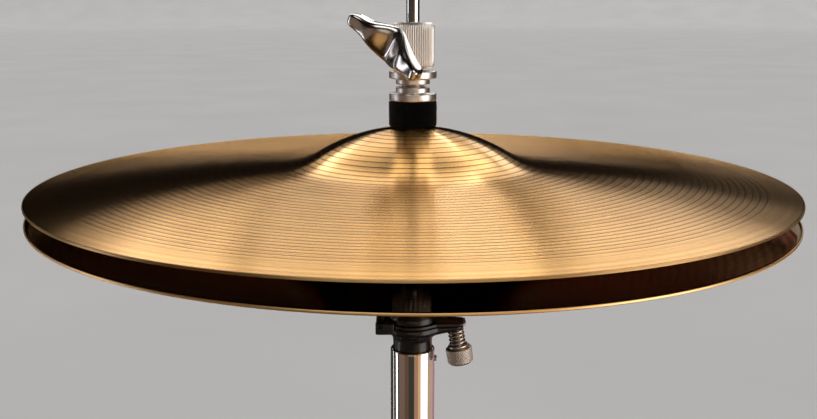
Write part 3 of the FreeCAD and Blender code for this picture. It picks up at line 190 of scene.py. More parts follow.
class Nodes:
    """Builds one node material; add and feed return a node, the other helpers an output socket."""

    def __init__(self, name):
        self.material = bpy.data.materials.new(name)
        self.material.use_nodes = True
        self.tree = self.material.node_tree
        self.shader = self.tree.nodes["Principled BSDF"]

    def add(self, kind, **settings):
        """A new node with some of its settings changed."""
        node = self.tree.nodes.new(kind)
        for key, value in settings.items():
            setattr(node, key, value)
        return node

    def link(self, source, target):
        self.tree.links.new(source, target)

    def feed(self, node, **inputs):
        """Links or sets sockets by name; an underscore stands for a space."""
        for key, value in inputs.items():
            socket = node.inputs[key.replace("_", " ")]
            if isinstance(value, bpy.types.NodeSocket):
                self.link(value, socket)
            else:
                socket.default_value = value
        return node

    def place(self):
        """The piece's own coordinates."""
        return self.add("ShaderNodeTexCoord").outputs["Object"]

    def stretch(self, vector, scale):
        """The coordinates scaled along each axis."""
        node = self.add("ShaderNodeMapping")
        self.link(vector, node.inputs["Vector"])
        node.inputs["Scale"].default_value = scale
        return node.outputs["Vector"]

    def noise(self, vector, scale, detail=4.0, rough=0.55):
        node = self.add("ShaderNodeTexNoise")
        self.link(vector, node.inputs["Vector"])
        self.feed(node, Scale=scale, Detail=detail, Roughness=rough)
        return node.outputs["Fac"]

    def math(self, operation, a, b=0.0, c=0.0):
        node = self.add("ShaderNodeMath", operation=operation)
        for socket, value in zip(node.inputs, (a, b, c)):
            if isinstance(value, bpy.types.NodeSocket):
                self.link(value, socket)
            else:
                socket.default_value = value
        return node.outputs[0]

    def ramp(self, factor, stops):
        """Colours between (position, colour) stops."""
        node = self.add("ShaderNodeValToRGB")
        self.link(factor, node.inputs["Fac"])
        ramp = node.color_ramp
        while len(ramp.elements) < len(stops):
            ramp.elements.new(0.5)
        for element, (position, colour) in zip(ramp.elements, stops):
            element.position = position
            element.color = (*colour, 1.0)
        return node.outputs["Color"]

    def span(self, factor, low, high):
        """Maps 0..1 to low..high."""
        node = self.add("ShaderNodeMapRange")
        self.link(factor, node.inputs["Value"])
        node.inputs["To Min"].default_value = low
        node.inputs["To Max"].default_value = high
        return node.outputs["Result"]

    def bump(self, height, distance, strength):
        node = self.add("ShaderNodeBump")
        self.link(height, node.inputs["Height"])
        node.inputs["Distance"].default_value = distance
        node.inputs["Strength"].default_value = strength
        return node.outputs["Normal"]

    def set(self, **inputs):
        """Feeds the surface shader and returns the finished material."""
        self.feed(self.shader, **inputs)
        return self.material


# ------------------------------------------------------------------ materials

def cymbal_bronze(name, low, high, spread, shade):
    """Lathed bronze: reflections stay sharp round the cymbal and spread along its radius.

    low and high are the roughness of clean and stained metal. The attribute "cut" paints shade, a dark
    line on the crest between two cuts, as it nears 1, and paints a paler highlight on the rim as it nears
    2. spread is how far reflections are drawn out along the radius, and shade darkens every tone.
    """
    fine_scale, band_scale, stain_scale = 5200.0, 420.0, 16.0
    crest_shade_strength, rim_roughness = 0.95, 0.35
    crest_shade_colour, rim_highlight_colour = (0.20, 0.085, 0.025, 1), (0.95, 0.62, 0.27, 1)
    cut_depth, cut_strength = 0.000005, 0.25
    tones = [(0.30, (0.67, 0.365, 0.120)), (0.50, (0.79, 0.455, 0.157)), (0.72, (0.87, 0.525, 0.198))]
    n = Nodes(name)
    place = n.place()
    length = n.add("ShaderNodeVectorMath", operation="LENGTH")
    n.link(n.stretch(place, (1, 1, 0)), length.inputs[0])
    radius = length.outputs["Value"]
    cuts = n.add("ShaderNodeTexNoise", noise_dimensions="1D")
    n.link(radius, cuts.inputs["W"])
    n.feed(cuts, Scale=fine_scale, Detail=3.0, Roughness=0.6)
    bands = n.add("ShaderNodeTexNoise", noise_dimensions="1D")
    n.link(radius, bands.inputs["W"])
    n.feed(bands, Scale=band_scale, Detail=2.0, Roughness=0.5)
    stains = n.noise(place, stain_scale, 5.0, 0.6)
    tone = n.math("ADD", n.math("MULTIPLY", stains, 0.5), n.math("MULTIPLY", bands.outputs["Fac"], 0.5))
    clean = n.ramp(tone, [(stop, tuple(shade * c for c in colour)) for stop, colour in tones])
    mark = n.add("ShaderNodeAttribute", attribute_name="cut").outputs["Fac"]
    # painted shade: a dark line along the crest between two lathe cuts, and on every second row of the
    # underside
    crest = n.math("MULTIPLY", mark, n.math("SUBTRACT", 2.0, mark))
    mix = n.add("ShaderNodeMix", data_type="RGBA")
    n.link(n.math("MULTIPLY", n.math("POWER", crest, 2.0), crest_shade_strength), mix.inputs["Factor"])
    n.link(clean, mix.inputs["A"])
    mix.inputs["B"].default_value = crest_shade_colour
    # painted highlight: the rim is mixed towards a pale bright colour as the mark passes 1
    rim_highlight = n.math("MAXIMUM", n.math("SUBTRACT", mark, 1.0), 0.0)
    rim = n.add("ShaderNodeMix", data_type="RGBA")
    n.link(rim_highlight, rim.inputs["Factor"])
    n.link(mix.outputs["Result"], rim.inputs["A"])
    rim.inputs["B"].default_value = rim_highlight_colour
    rough = n.math("ADD", n.span(stains, low, high), n.math("MULTIPLY", rim_highlight, rim_roughness))
    tangent = n.add("ShaderNodeTangent", direction_type="RADIAL", axis="Z")
    return n.set(Base_Color=rim.outputs["Result"], Metallic=1.0, Roughness=rough, Anisotropic=spread,
                 Anisotropic_Rotation=0.25, Tangent=tangent.outputs["Tangent"],
                 Normal=n.bump(cuts.outputs["Fac"], cut_depth, cut_strength))


def metal(name, dark, light, low, high, grain=(1, 1, 1), scale=900.0, depth=0.000006, strength=0.5):
    """A metal with faint tone changes, uneven polish and fine marks stretched along its grain."""
    cloud_scale = 55.0
    n = Nodes(name)
    place = n.place()
    cloud = n.noise(place, cloud_scale, 5.0, 0.6)
    marks = n.noise(n.stretch(place, grain), scale, 3.0, 0.65)
    colour = n.ramp(cloud, [(0.3, dark), (0.7, light)])
    rough = n.math("ADD", n.span(cloud, low, high), n.math("MULTIPLY", marks, (high - low) * 0.5))
    return n.set(Base_Color=colour, Metallic=1.0, Roughness=rough, Normal=n.bump(marks, depth, strength))


def polished_chrome():
    return metal("polished_chrome", (0.80, 0.79, 0.80), (0.88, 0.87, 0.87), 0.035, 0.075,
                 grain=(1, 1, 0.08), scale=700.0, depth=0.000002, strength=0.3)


def nickel():
    return metal("nickel", (0.80, 0.755, 0.70), (0.90, 0.86, 0.81), 0.25, 0.36,
                 scale=650.0, depth=0.00001, strength=0.5)


def cast_nickel():
    return metal("cast_nickel", (0.70, 0.67, 0.64), (0.85, 0.82, 0.78), 0.12, 0.22,
                 scale=260.0, depth=0.00003, strength=0.35)


def zinc_steel():
    return metal("zinc_steel", (0.62, 0.61, 0.59), (0.78, 0.77, 0.75), 0.20, 0.32,
                 scale=800.0, depth=0.00001, strength=0.5)


def blackened_steel():
    """Black oxide on pressed steel, turning brighter and more metallic past a ragged line towards the free
    end.
    """
    bright_from, fade_per_metre, ragged = 0.0250, 1100.0, 0.0012
    bright_steel = (0.72, 0.70, 0.66, 1)
    n = Nodes("blackened_steel")
    place = n.place()
    cloud = n.noise(place, 120.0, 5.0, 0.6)
    split = n.add("ShaderNodeSeparateXYZ")
    n.link(place, split.inputs[0])
    edge = n.math("MULTIPLY_ADD", n.math("SUBTRACT", cloud, 0.5), ragged, split.outputs["X"])
    # brighter and more metallic beyond about 25 mm from the axis, with a ragged edge
    fade = n.math("MULTIPLY", n.math("SUBTRACT", edge, bright_from), fade_per_metre)
    bright_end_share = n.math("MINIMUM", n.math("SMOOTH_MAX", fade, 0.0, 0.2), 1.0)
    mix = n.add("ShaderNodeMix", data_type="RGBA")
    n.link(bright_end_share, mix.inputs["Factor"])
    n.link(n.ramp(cloud, [(0.3, (0.018, 0.013, 0.010)), (0.7, (0.045, 0.034, 0.027))]), mix.inputs["A"])
    mix.inputs["B"].default_value = bright_steel
    return n.set(Base_Color=mix.outputs["Result"], Metallic=n.span(bright_end_share, 0.35, 1.0),
                 Roughness=n.span(cloud, 0.22, 0.36), Normal=n.bump(cloud, 0.00002, 0.4))


def spring_steel():
    return metal("spring_steel", (0.60, 0.57, 0.52), (0.80, 0.77, 0.71), 0.16, 0.28,
                 scale=900.0, depth=0.000008, strength=0.4)


def chromed_steel():
    return metal("chromed_steel", (0.74, 0.74, 0.75), (0.86, 0.86, 0.86), 0.06, 0.14,
                 scale=420.0, depth=0.000012, strength=0.35)


def cast_aluminium():
    return metal("cast_aluminium", (0.42, 0.42, 0.43), (0.62, 0.62, 0.63), 0.34, 0.50,
                 scale=1400.0, depth=0.00008, strength=0.55)


def moulded(name, dark, light, low, high, scale, depth, strength):
    """Plastic, rubber or powder coat: an even colour broken by fine grain and faint rubbing."""
    cloud_scale = 40.0
    n = Nodes(name)
    place = n.place()
    cloud = n.noise(place, cloud_scale, 5.0, 0.6)
    grain = n.noise(place, scale, 2.0, 0.5)
    return n.set(Base_Color=n.ramp(cloud, [(0.3, dark), (0.72, light)]),
                 Roughness=n.span(cloud, low, high), Normal=n.bump(grain, depth, strength))


def black_plastic():
    return moulded("black_plastic", (0.005, 0.0038, 0.0032), (0.013, 0.010, 0.008), 0.17, 0.30,
                   2400.0, 0.00002, 0.35)


def rubber():
    return moulded("rubber", (0.012, 0.012, 0.012), (0.030, 0.029, 0.028), 0.62, 0.85,
                   1500.0, 0.00006, 0.6)


def powder_coat():
    return moulded("powder_coat", (0.014, 0.014, 0.015), (0.027, 0.027, 0.028), 0.42, 0.58,
                   1100.0, 0.00009, 0.7)


def nylon():
    return moulded("nylon", (0.30, 0.29, 0.27), (0.44, 0.43, 0.40), 0.35, 0.5, 1800.0, 0.00002, 0.3)


def black_felt():
    """Pressed wool: nearly black, dull, with paler fibres on top and a faint sheen."""
    n = Nodes("black_felt")
    place = n.place()
    wool = n.noise(place, 900.0, 6.0, 0.7)
    clumps = n.noise(place, 190.0, 4.0, 0.6)
    colour = n.ramp(n.math("MULTIPLY", wool, clumps),
                    [(0.10, (0.0015, 0.0013, 0.0012)), (0.30, (0.0045, 0.0038, 0.0034)),
                     (0.46, (0.016, 0.0135, 0.012))])
    n.shader.inputs["Sheen Weight"].default_value = 0.04
    n.shader.inputs["Sheen Roughness"].default_value = 0.6
    n.shader.inputs["Specular IOR Level"].default_value = 0.06
    return n.set(Base_Color=colour, Roughness=n.span(clumps, 0.88, 1.0), Normal=n.bump(wool, 0.0003, 0.9))


# the lower cymbal's face is seen only in the dark gap, so it is smoother, and its tones are halved as
# painted shade
BRONZE = cymbal_bronze("cymbal_bronze", 0.215, 0.245, 1.0, 1.0)
INNER_BRONZE = cymbal_bronze("cymbal_bronze_inner", 0.03, 0.05, 0.3, 0.5)
CHROME = polished_chrome()
NICKEL = nickel()
CAST_NICKEL = cast_nickel()
ZINC = zinc_steel()
OXIDE = blackened_steel()
SPRING = spring_steel()
CHROMED = chromed_steel()
ALUMINIUM = cast_aluminium()
PLASTIC = black_plastic()
RUBBER = rubber()
COAT = powder_coat()
NYLON = nylon()
FELT = black_felt()
SLOT_MATERIAL = {
    "cymbal_bronze": BRONZE, "polished_chrome": CHROME, "nickel": NICKEL, "black_felt": FELT,
    "black_plastic": PLASTIC, "plated_steel": ZINC, "chromed_steel": CHROMED,
    "cast_aluminium": ALUMINIUM, "black_steel": COAT, "rubber": RUBBER,
}


def dress_cad_nodes():
    """Gives every CAD node that stays visible its material."""
    slots = {entry["node"]: entry["material_slot"] for entry in frame["record"]["subparts"]}
    for node, obj in frame["nodes"].items():
        material = NYLON if node == "height_bush" else SLOT_MATERIAL[slots[node]]
        if node.endswith("wing_screw"):
            material = CAST_NICKEL
        for entry in obj.material_slots:
            entry.material = material


# ------------------------------------------------------------------ cymbals

RIM_RADIUS = 177.8 * MM
HOLE_RADIUS = 6.0 * MM
BELL_RADIUS, BELL_TOP = 91.0 * MM, 25.9 * MM
BLEND_RADIUS = 40.0 * MM
BOW_RADIUS, BOW_TOP = 1809.0 * MM, 8.74 * MM
RING_START, RING_END = 12.0 * MM, 165.4 * MM
# radius and width of the lathe's cuts, in millimetres
RING_STEPS = [(12, 4.3), (32, 3.9), (46, 3.0), (55, 3.8), (76, 4.35), (120, 3.5), (165, 2.95)]
RING_DEPTH = 0.040 * MM
CYMBAL_SEGMENTS = 240
HOLE_ROWS, CUT_ROWS, EDGE_ROWS, RIM_ROWS, UNDER_ROWS = 4, 6, 12, 6, 84
# marks that the bronze turns into painted shade on crests and underside rows, and a painted highlight on
# the rim
CREST_MARK, LAST_CREST_MARK, RIM_MARK, UNDER_MARK = 1.0, 0.35, 2.0, 0.9
RIM_BULGE = 0.16
UPPER_RIM_LEVEL, LOWER_RIM_LEVEL = 870 * MM, 859.7 * MM
LOWER_LEAN_X, LOWER_LEAN_Y = math.radians(0.48), math.radians(0.31)


def skin_height(r, inset=0.0):
    """Height of a cymbal's skin over its rim plane: domed bell, reversed blend, shallow bow."""
    bell_centre, bow_centre = BELL_TOP - BELL_RADIUS, BOW_TOP - BOW_RADIUS
    near, far = BELL_RADIUS + BLEND_RADIUS, BOW_RADIUS + BLEND_RADIUS
    blend_z = (bell_centre + bow_centre) / 2 + (far ** 2 - near ** 2) / (2 * (bell_centre - bow_centre))
    blend_r = math.sqrt(near ** 2 - (blend_z - bell_centre) ** 2)
    if r < blend_r * (BELL_RADIUS - inset) / near:
        return bell_centre + math.sqrt((BELL_RADIUS - inset) ** 2 - r ** 2)
    if r < blend_r * (BOW_RADIUS - inset) / far:
        return blend_z - math.sqrt((BLEND_RADIUS + inset) ** 2 - (r - blend_r) ** 2)
    return bow_centre + math.sqrt((BOW_RADIUS - inset) ** 2 - r ** 2)


def ring_step(r):
    """Width of the lathe's cut at a radius."""
    r /= MM
    for (r0, w0), (r1, w1) in zip(RING_STEPS, RING_STEPS[1:]):
        if r <= r1:
            return (w0 + (w1 - w0) * (r - r0) / (r1 - r0)) * MM
    return RING_STEPS[-1][1] * MM


def lathed_skin():
    """Outline of the outer skin from hole to rim, with a shallow scallop for each cut of the lathe.

    Also returns a mark for each point, where the bronze paints shade: 1 on the crest between two cuts,
    less at the last one, otherwise 0.
    """
    points = [(HOLE_RADIUS + k * (RING_START - HOLE_RADIUS) / HOLE_ROWS, 0.0, 0.0)
              for k in range(HOLE_ROWS)]
    r = RING_START
    while r < RING_END:
        width = ring_step(r)
        for k in range(CUT_ROWS):
            u = k / CUT_ROWS
            points.append((r + u * width, RING_DEPTH * (1 - (2 * u - 1) ** 2), 0.0 if k else CREST_MARK))
        r += width
    for k in range(EDGE_ROWS + 1):
        points.append((r + (RIM_RADIUS - r) * k / EDGE_ROWS, 0.0, 0.0 if k else LAST_CREST_MARK))
    return [(x, skin_height(x) - drop) for x, drop, _ in points], [mark for _, _, mark in points]


def cymbal(name, node, body, thickness, place, material):
    """A whole cymbal: lathed skin, bulging rim and an underside with a mark on every second row, which the
    bronze paints as shade.
    """
    outer, marks = lathed_skin()
    rim_r, rim_z = outer[-1]
    bulge = thickness * RIM_BULGE
    rim = [(rim_r - bulge * (1 - math.sin(a)), rim_z - thickness / 2 + math.cos(a) * thickness / 2)
           for a in (math.pi * k / RIM_ROWS for k in range(RIM_ROWS + 1))]
    under = [RIM_RADIUS - (RIM_RADIUS - HOLE_RADIUS) * k / UNDER_ROWS for k in range(1, UNDER_ROWS + 1)]
    outline = outer[:-1] + rim + [(r, skin_height(r, thickness)) for r in under]
    marks = marks[:-1] + [RIM_MARK] * len(rim) + [UNDER_MARK * (k % 2) for k in range(UNDER_ROWS)]
    vertices, faces = lathe_grid(outline, CYMBAL_SEGMENTS)
    add_mesh(name, moved(vertices, place), faces, body, [node], material, 60,
             marks * CYMBAL_SEGMENTS)


def cymbals():
    """The upper cymbal, and the lower one turned over and leaning a little on its seat."""
    top = Matrix.Translation((0, 0, UPPER_RIM_LEVEL))
    cymbal("upper_cymbal_lathed", "top_cymbal", "upper_cymbal", 1.0 * MM, top, BRONZE)
    low = (Matrix.Translation((0, 0, LOWER_RIM_LEVEL)) @ Matrix.Rotation(LOWER_LEAN_X, 4, "X")
           @ Matrix.Rotation(LOWER_LEAN_Y, 4, "Y") @ Matrix.Rotation(math.pi, 4, "X"))
    cymbal("lower_cymbal_lathed", "bottom_cymbal", "lower_cymbal", 1.1 * MM, low, INNER_BRONZE)


# ------------------------------------------------------------------ clutch

def on_axis(z):
    """A place on the stand's axis."""
    return Matrix.Translation((0, 0, z))


def ring_piece(name, node, body, material, outline, z=0.0, segments=96, shape=None, place=None):
    """A turned piece whose closed outline is in millimetres."""
    points = [(r * MM, h * MM) for r, h in outline]
    vertices, faces = lathe_grid(points, segments, shape)
    add_mesh(name, moved(vertices, place or on_axis(z)), faces, body, [node], material)


def wall_share(r, radius, inset):
    """Rises from 0 to 1 close to the outer wall of a turned piece; radius and inset in millimetres."""
    ramp = 0.4
    return max(0.0, min(1.0, (r / MM - (radius - inset)) / ramp))


def clutch_body():
    """The upper part of the clutch: straight flutes that run out into the bevels."""
    low, _ = node_span("clutch_body")
    flutes, radius, tall, bore, bevel = 58, 10.15, 21.4, 3.3, 1.3
    depth, shoulder, lip, soft, rows = 0.42, 0.66, 0.5, 0.3, 6
    outline = rounded([(bore, lip), (bore + lip, 0), (radius - bevel, 0)], soft, 3)
    outline += [(radius - shoulder, bevel * 0.5)]
    outline += [(radius, bevel + (tall - 2 * bevel) * k / rows) for k in range(rows + 1)]
    outline += [(radius - shoulder, tall - bevel * 0.5)]
    outline += rounded([(radius - bevel, tall), (bore + lip, tall), (bore, tall - lip)], soft, 3)

    def flute(r, z, angle):
        cut = abs(math.cos(flutes * angle / 2)) ** 3
        return r - depth * MM * cut * wall_share(r, radius, 0.7), z

    ring_piece("clutch_fluted_body", "clutch_body", "clutch", NICKEL, outline,
               low.z, flutes * 8, flute)


def threaded(depth, pitch, base):
    """A shape function that cuts a helical thread into every wall outside the base radius."""
    def cut(r, z, angle):
        if r < base * MM:
            return r, z
        turn = (z / MM / pitch - angle / (2 * math.pi)) % 1.0
        return r - depth * MM * abs(2 * turn - 1), z
    return cut


def clutch_tube():
    """The tube that carries the nuts and the felts, threaded along its whole length."""
    low, high = node_span("clutch_tube")
    bore, end, crest, row = 3.3, 5.0, 5.5, 0.2
    depth, pitch, thread_from = 0.42, 1.0, 5.3
    tall = (high.z - low.z) / MM
    rows = int(tall / row)
    outline = [(bore, 0.0), (end, 0.0)] + [(crest, 0.5 + (tall - 1) * k / rows) for k in range(rows + 1)]
    outline += [(end, tall), (bore, tall)]
    ring_piece("clutch_threaded_tube", "clutch_tube", "clutch", NICKEL, outline, low.z, 40,
               threaded(depth, pitch, thread_from))


def lock_nuts():
    """Two flanged nuts, hub to hub, with softened edges."""
    flange, hub, thick, tall, bore, lip = 11.3, 8.1, 3.6, 6.45, 5.5, 0.4
    corners = [(bore, tall - lip), (bore + lip, tall), (hub, tall), (hub, thick), (flange, thick),
               (flange, 0), (bore + lip, 0), (bore, lip)]
    outline = rounded(corners, 0.55, 4)
    low, _ = node_span("lock_nut_lower")
    ring_piece("lock_nut_lower_turned", "lock_nut_lower", "lower_nut", NICKEL, outline,
               low.z, 128)
    _, high = node_span("lock_nut_upper")
    flip = Matrix.Translation((0, 0, high.z)) @ Matrix.Rotation(math.pi, 4, "X")
    ring_piece("lock_nut_upper_turned", "lock_nut_upper", "upper_nut", NICKEL, outline,
               segments=128, place=flip)


def hump(x, centre, width):
    """A smooth rise that is 1 at its centre and fades on both sides."""
    return math.exp(-((x - centre) / width) ** 2)


def wing_screw(name, node, body, radius, level, azimuth, roll):
    """A cast wing screw: a boss whose two ears sweep out and thin towards rounded tips."""
    half, tip_low, tip_high, tip_half = 24.0, 7.0, 14.6, 2.6
    boss, boss_top, stand_off = 9.0, 7.4, 0.6
    saddle, shoulder, bead = 1.0, 1.8, 0.5
    tip_from, tip_length = 0.86, 0.14
    stations, around = 49, 28
    vertices = []
    for i in range(stations):
        s = -1 + 2 * i / (stations - 1)
        x = half * math.sin(s * math.pi / 2) * (0.999 if abs(s) == 1 else 1)
        reach = abs(x) / half
        lift = reach ** 1.25
        low = stand_off + (tip_low - stand_off) * lift
        high = boss_top + (tip_high - boss_top) * lift - saddle * hump(x, 0.0, 4.5)
        high += shoulder * hump(abs(x), 10.0, 5.5)
        swell = hump(x, 0.0, 13.0)
        thick = tip_half + (boss - tip_half) * swell + bead * hump(reach, 0.82, 0.16)
        into_tip = max(0.0, reach - tip_from) / tip_length
        close = math.sqrt(max(0.0, 1 - into_tip ** 2)) * 0.98 + 0.02
        middle, deep = (low + high) / 2, (high - low) / 2 * (0.35 + 0.65 * close)
        thick *= 0.4 + 0.6 * close
        power = 2.0 / (2.6 + 1.6 * (1 - swell))
        for j in range(around):
            a = 2 * math.pi * j / around
            c, d = math.cos(a), math.sin(a)
            y = thick * math.copysign(abs(c) ** power, c)
            z = middle + deep * math.copysign(abs(d) ** power, d)
            vertices.append(Vector((x, y, z)) * MM)
    core, stem, bottom, root, chamfer = 0.0002, 3.0, -6.5, 3.0, 0.4
    shank = [(core, bottom), (stem - chamfer, bottom), (stem, -6.0), (stem, root), (core, root)]
    vertices, faces = merged((vertices, sleeve_faces(stations, around)),
                             lathe_grid([(r * MM, h * MM) for r, h in shank], 32))
    out = math.radians(azimuth)
    place = (Matrix.Translation((radius * math.cos(out), radius * math.sin(out), level))
             @ Matrix.Rotation(out, 4, "Z") @ Matrix.Rotation(math.pi / 2, 4, "Y")
             @ Matrix.Rotation(math.radians(roll), 4, "Z"))
    add_mesh(name, moved(vertices, place), faces, body, [node], CAST_NICKEL, 50)


def wing_screws():
    """The three wing screws: radius where each one bears, level, side it stands on and turn."""
    clutch_wall, collar_wall = 10.15 * MM, 24.5 * MM
    wing_screw("clutch_wing_cast", "clutch_wing_screw", "clutch_screw", clutch_wall, 934.4 * MM, 230, 57)
    wing_screw("collar_wing_cast", "collar_wing_screw", "collar_screw", collar_wall, 400 * MM, 270, 90)
    wing_screw("clamp_wing_cast", "clamp_wing_screw", "clamp_screw", collar_wall, 530 * MM, 30, 60)


def felt_ring(name, node, body, inner, outer, tall, z, seed, fibres):
    """A pressed felt ring: a soft, slightly uneven wall with wool fibres standing off it."""
    rng = random.Random(seed)
    spacing, wave_depth, inset, fibre_radius = 0.45, 0.28, 0.10, 0.022
    outline = rounded([(inner, tall / 2), (inner, tall), (outer, tall), (outer, 0), (inner, 0),
                       (inner, tall / 2 - 0.01)], 0.9, 5)
    dense = []
    for (r0, z0), (r1, z1) in zip(outline, outline[1:]):
        steps = max(1, int(math.hypot(r1 - r0, z1 - z0) / spacing))
        dense += [(r0 + (r1 - r0) * k / steps, z0 + (z1 - z0) * k / steps) for k in range(steps)]
    phases = [(rng.uniform(0, 6.3), rng.uniform(0, 6.3), rng.randint(5, 60), rng.uniform(0.6, 5.0))
              for _ in range(26)]

    def wool(r, z, angle):
        wave = sum(math.sin(k * angle + w * z / MM + a) * math.sin(w * 0.7 * z / MM + b)
                   for a, b, k, w in phases) / len(phases)
        if r > (inner + 0.5) * MM:
            r += wave * wave_depth * MM - inset * MM
        return r, z

    points = [(r * MM, h * MM) for r, h in dense]
    vertices, faces = lathe_grid(points, 150, wool)
    strands = []
    for _ in range(fibres):
        angle, height = rng.uniform(0, 2 * math.pi), rng.uniform(0.4, tall - 0.4)
        r = outer - 0.25
        start = Vector((r * math.cos(angle), r * math.sin(angle), height))
        along = Vector((-math.sin(angle), math.cos(angle), rng.uniform(-0.9, 0.9))).normalized()
        along *= rng.choice((-1, 1))
        out = Vector((math.cos(angle), math.sin(angle), rng.uniform(-0.4, 0.4)))
        size, lift = rng.uniform(0.6, 1.8), rng.uniform(0.15, 0.42)
        path = [(start + along * size * t + out * lift * 4 * t * (1 - t * 0.75)) * MM
                for t in (0.0, 0.35, 0.7, 1.0)]
        strands.append(tube_along(path, fibre_radius * MM, 3))
    vertices, faces = merged((vertices, faces), *strands)
    piece = add_mesh(name, moved(vertices, on_axis(z)), faces, body, [node], FELT, 80)


def felts():
    """Each ring's inner and outer radius and height, its level, its seed and its number of fibres."""
    felt_ring("clutch_felt_upper_wool", "clutch_felt_upper", "clutch", 5.8, 11.5, 12.2, 896.1 * MM, 3, 900)
    felt_ring("clutch_felt_lower_wool", "clutch_felt_lower", "clutch", 5.8, 10.0, 5.1, 888.6 * MM, 4, 200)
    felt_ring("seat_felt_wool", "seat_felt", "seat", 5.6, 19.0, 7.2, 826.1 * MM, 5, 500)


def end_nut():
    """The round nut under the upper cymbal, with shallow finger grooves."""
    low, high = node_span("clutch_end_nut")
    tall, radius, bore, lip, lobes, depth = (high.z - low.z) / MM, 9.5, 5.5, 0.4, 24, 0.5
    outline = rounded([(bore, lip), (bore + lip, 0), (radius, 0), (radius, tall), (bore + lip, tall),
                       (bore, tall - lip)], 0.8, 4)

    def grip(r, z, angle):
        share = wall_share(r, radius, 0.6)
        return r - depth * MM * share * abs(math.cos(lobes * angle / 2)) ** 4, z

    ring_piece("clutch_end_nut_turned", "clutch_end_nut", "end_nut", NICKEL, outline, low.z,
               lobes * 8, grip)


def pull_rod():
    """The polished rod, with a fine groove near its top and rounded ends."""
    low, high = node_span("pull_rod")
    tall, radius, core, end = (high.z - low.z) / MM, 3.175, 0.001, 0.8
    groove = 986.0 - low.z / MM
    outline = [(core, 0), (radius - end, 0), (radius, end)]
    outline += [(radius, end + (groove - 0.9) * k / 12) for k in range(1, 13)]
    outline += [(radius - 0.4, groove + 0.15), (radius - 0.4, groove + 0.85), (radius, groove + 1.0)]
    outline += [(radius, tall - 0.9), (radius - 0.25, tall - 0.35), (radius - end, tall), (core, tall)]
    ring_piece("pull_rod_polished", "pull_rod", "rod", CHROME, outline, low.z, 64)


# ------------------------------------------------------------------ seat of the lower cymbal

def arm_reach(angle, disc, reach, half, corner):
    """Distance from the axis to the edge of a disc that carries an arm along +X.

    reach and half are the arm's length and half its width; a larger corner gives it squarer corners.
    """
    c, d = math.cos(angle), abs(math.sin(angle))
    if c <= 0:
        return disc
    blend = 7.0
    to_end = reach / c
    to_side = half / d if d > 1e-6 else 1e9
    straight = (to_end ** -corner + to_side ** -corner) ** (-1 / corner)
    return (disc ** blend + straight ** blend) ** (1 / blend)


def seat_base():
    """Moulded base: plug, neck, and an underside that flares into the disc and the arm."""
    top, bore, plug, neck, flare, tall, segments = 784.1, 4.6, 9.85, 9.75, 3.25, 12.2, 160
    # radius, height over the tube's top and share of the arm's reach
    levels = [(bore, tall, 0.0), (bore, -22.0, 0.0), (8.9, -22.0, 0.0), (plug, -21.0, 0.0),
              (plug, -2.0, 0.0), (neck, -0.6, 0.0), (neck, 1.0, 0.0), (neck, 3.2, 0.0),
              (neck + 0.1, 5.0, 0.0), (neck + 0.35, 6.0, 0.02), (neck + 0.9, 6.9, 0.08),
              (neck + 1.7, 7.7, 0.25), (neck + 2.4, 8.4, 0.55), (neck + 2.9, 9.1, 0.86),
              (neck + 3.2, 9.8, 0.985), (neck + flare, 10.4, 1.0), (neck + flare, 11.4, 1.0),
              (neck + 3.1, 12.0, 0.99), (neck + 2.7, tall, 0.97)]
    flat_from, arm_length, arm_rise = 11, 12, 1.1
    vertices = []
    for i in range(segments):
        angle = 2 * math.pi * i / segments
        edge = arm_reach(angle, disc=neck + flare, reach=25.2, half=6.5, corner=5)
        for r, z, share in levels:
            extra = (edge - (neck + flare)) * share
            rise = arm_rise * max(0.0, extra) / arm_length * (1 if z < flat_from else 0)
            radius = (r + extra) * MM
            vertices.append((radius * math.cos(angle), radius * math.sin(angle), (top + z + rise) * MM))
    lugs = [block(-18.4, -9.0, middle - 1.5, middle + 1.5, top + 9.4, top + 15.2, 0.8)
            for middle in (-8.0, 8.0)]
    vertices, faces = merged((vertices, ring_faces(segments, len(levels))), *lugs)
    add_mesh("seat_base_moulded", vertices, faces, "seat_tube", ["seat_base"], PLASTIC, 45)


def tilt_plate():
    """Pressed plate: a disc and an arm of one thickness with a softened edge, and its knuckle."""
    low, thick, bore, segments = 796.5, 1.6, 4.6, 160
    knuckle_x, knuckle_level = -16.0, 797.4
    pin, roll, wide, soft = 1.33, 2.4, 5.9, 0.3
    # height and share of the way from the bore to the edge
    levels = [(0.0, 0.0), (0.0, 0.98), (0.25, 1.0), (thick - 0.25, 1.0), (thick, 0.98), (thick, 0.0)]
    vertices = []
    for i in range(segments):
        angle = 2 * math.pi * i / segments
        edge = arm_reach(angle, disc=12.5, reach=26.6, half=6.4, corner=6)
        for z, share in levels:
            radius = (bore + (edge - bore) * share) * MM
            vertices.append((radius * math.cos(angle), radius * math.sin(angle), (low + z) * MM))
    tongue = block(knuckle_x, -8.0, -5.8, 5.8, low + 0.1, low + 1.5, 0.4)
    knuckle, knuckle_faces = lathe_grid(
        [(r * MM, h * MM) for r, h in ((pin, -wide), (roll - 0.2, -wide), (roll, soft - wide),
                                       (roll, wide - soft), (roll - 0.2, wide), (pin, wide))], 32)
    middle = Vector((knuckle_x, 0, knuckle_level)) * MM
    turn = Matrix.Translation(middle) @ Matrix.Rotation(math.pi / 2, 4, "X")
    vertices, faces = merged((vertices, ring_faces(segments, len(levels))), tongue,
                             (moved(knuckle, turn), knuckle_faces))
    add_mesh("tilt_plate_pressed", vertices, faces, "seat", ["tilt_plate"], OXIDE, 45)


TILT_TOP = Vector((21.4, 0, 794.3)) * MM
TILT_LEAN = math.radians(9.5)
KNOB_TALL = 8.9
KNOB_LOW = -9.8 - KNOB_TALL


def along_tilt(height):
    """A place on the tilt screw's own axis, a height above the arm's underside."""
    return (Matrix.Translation(TILT_TOP) @ Matrix.Rotation(-TILT_LEAN, 4, "Y")
            @ Matrix.Translation((0, 0, height * MM)))


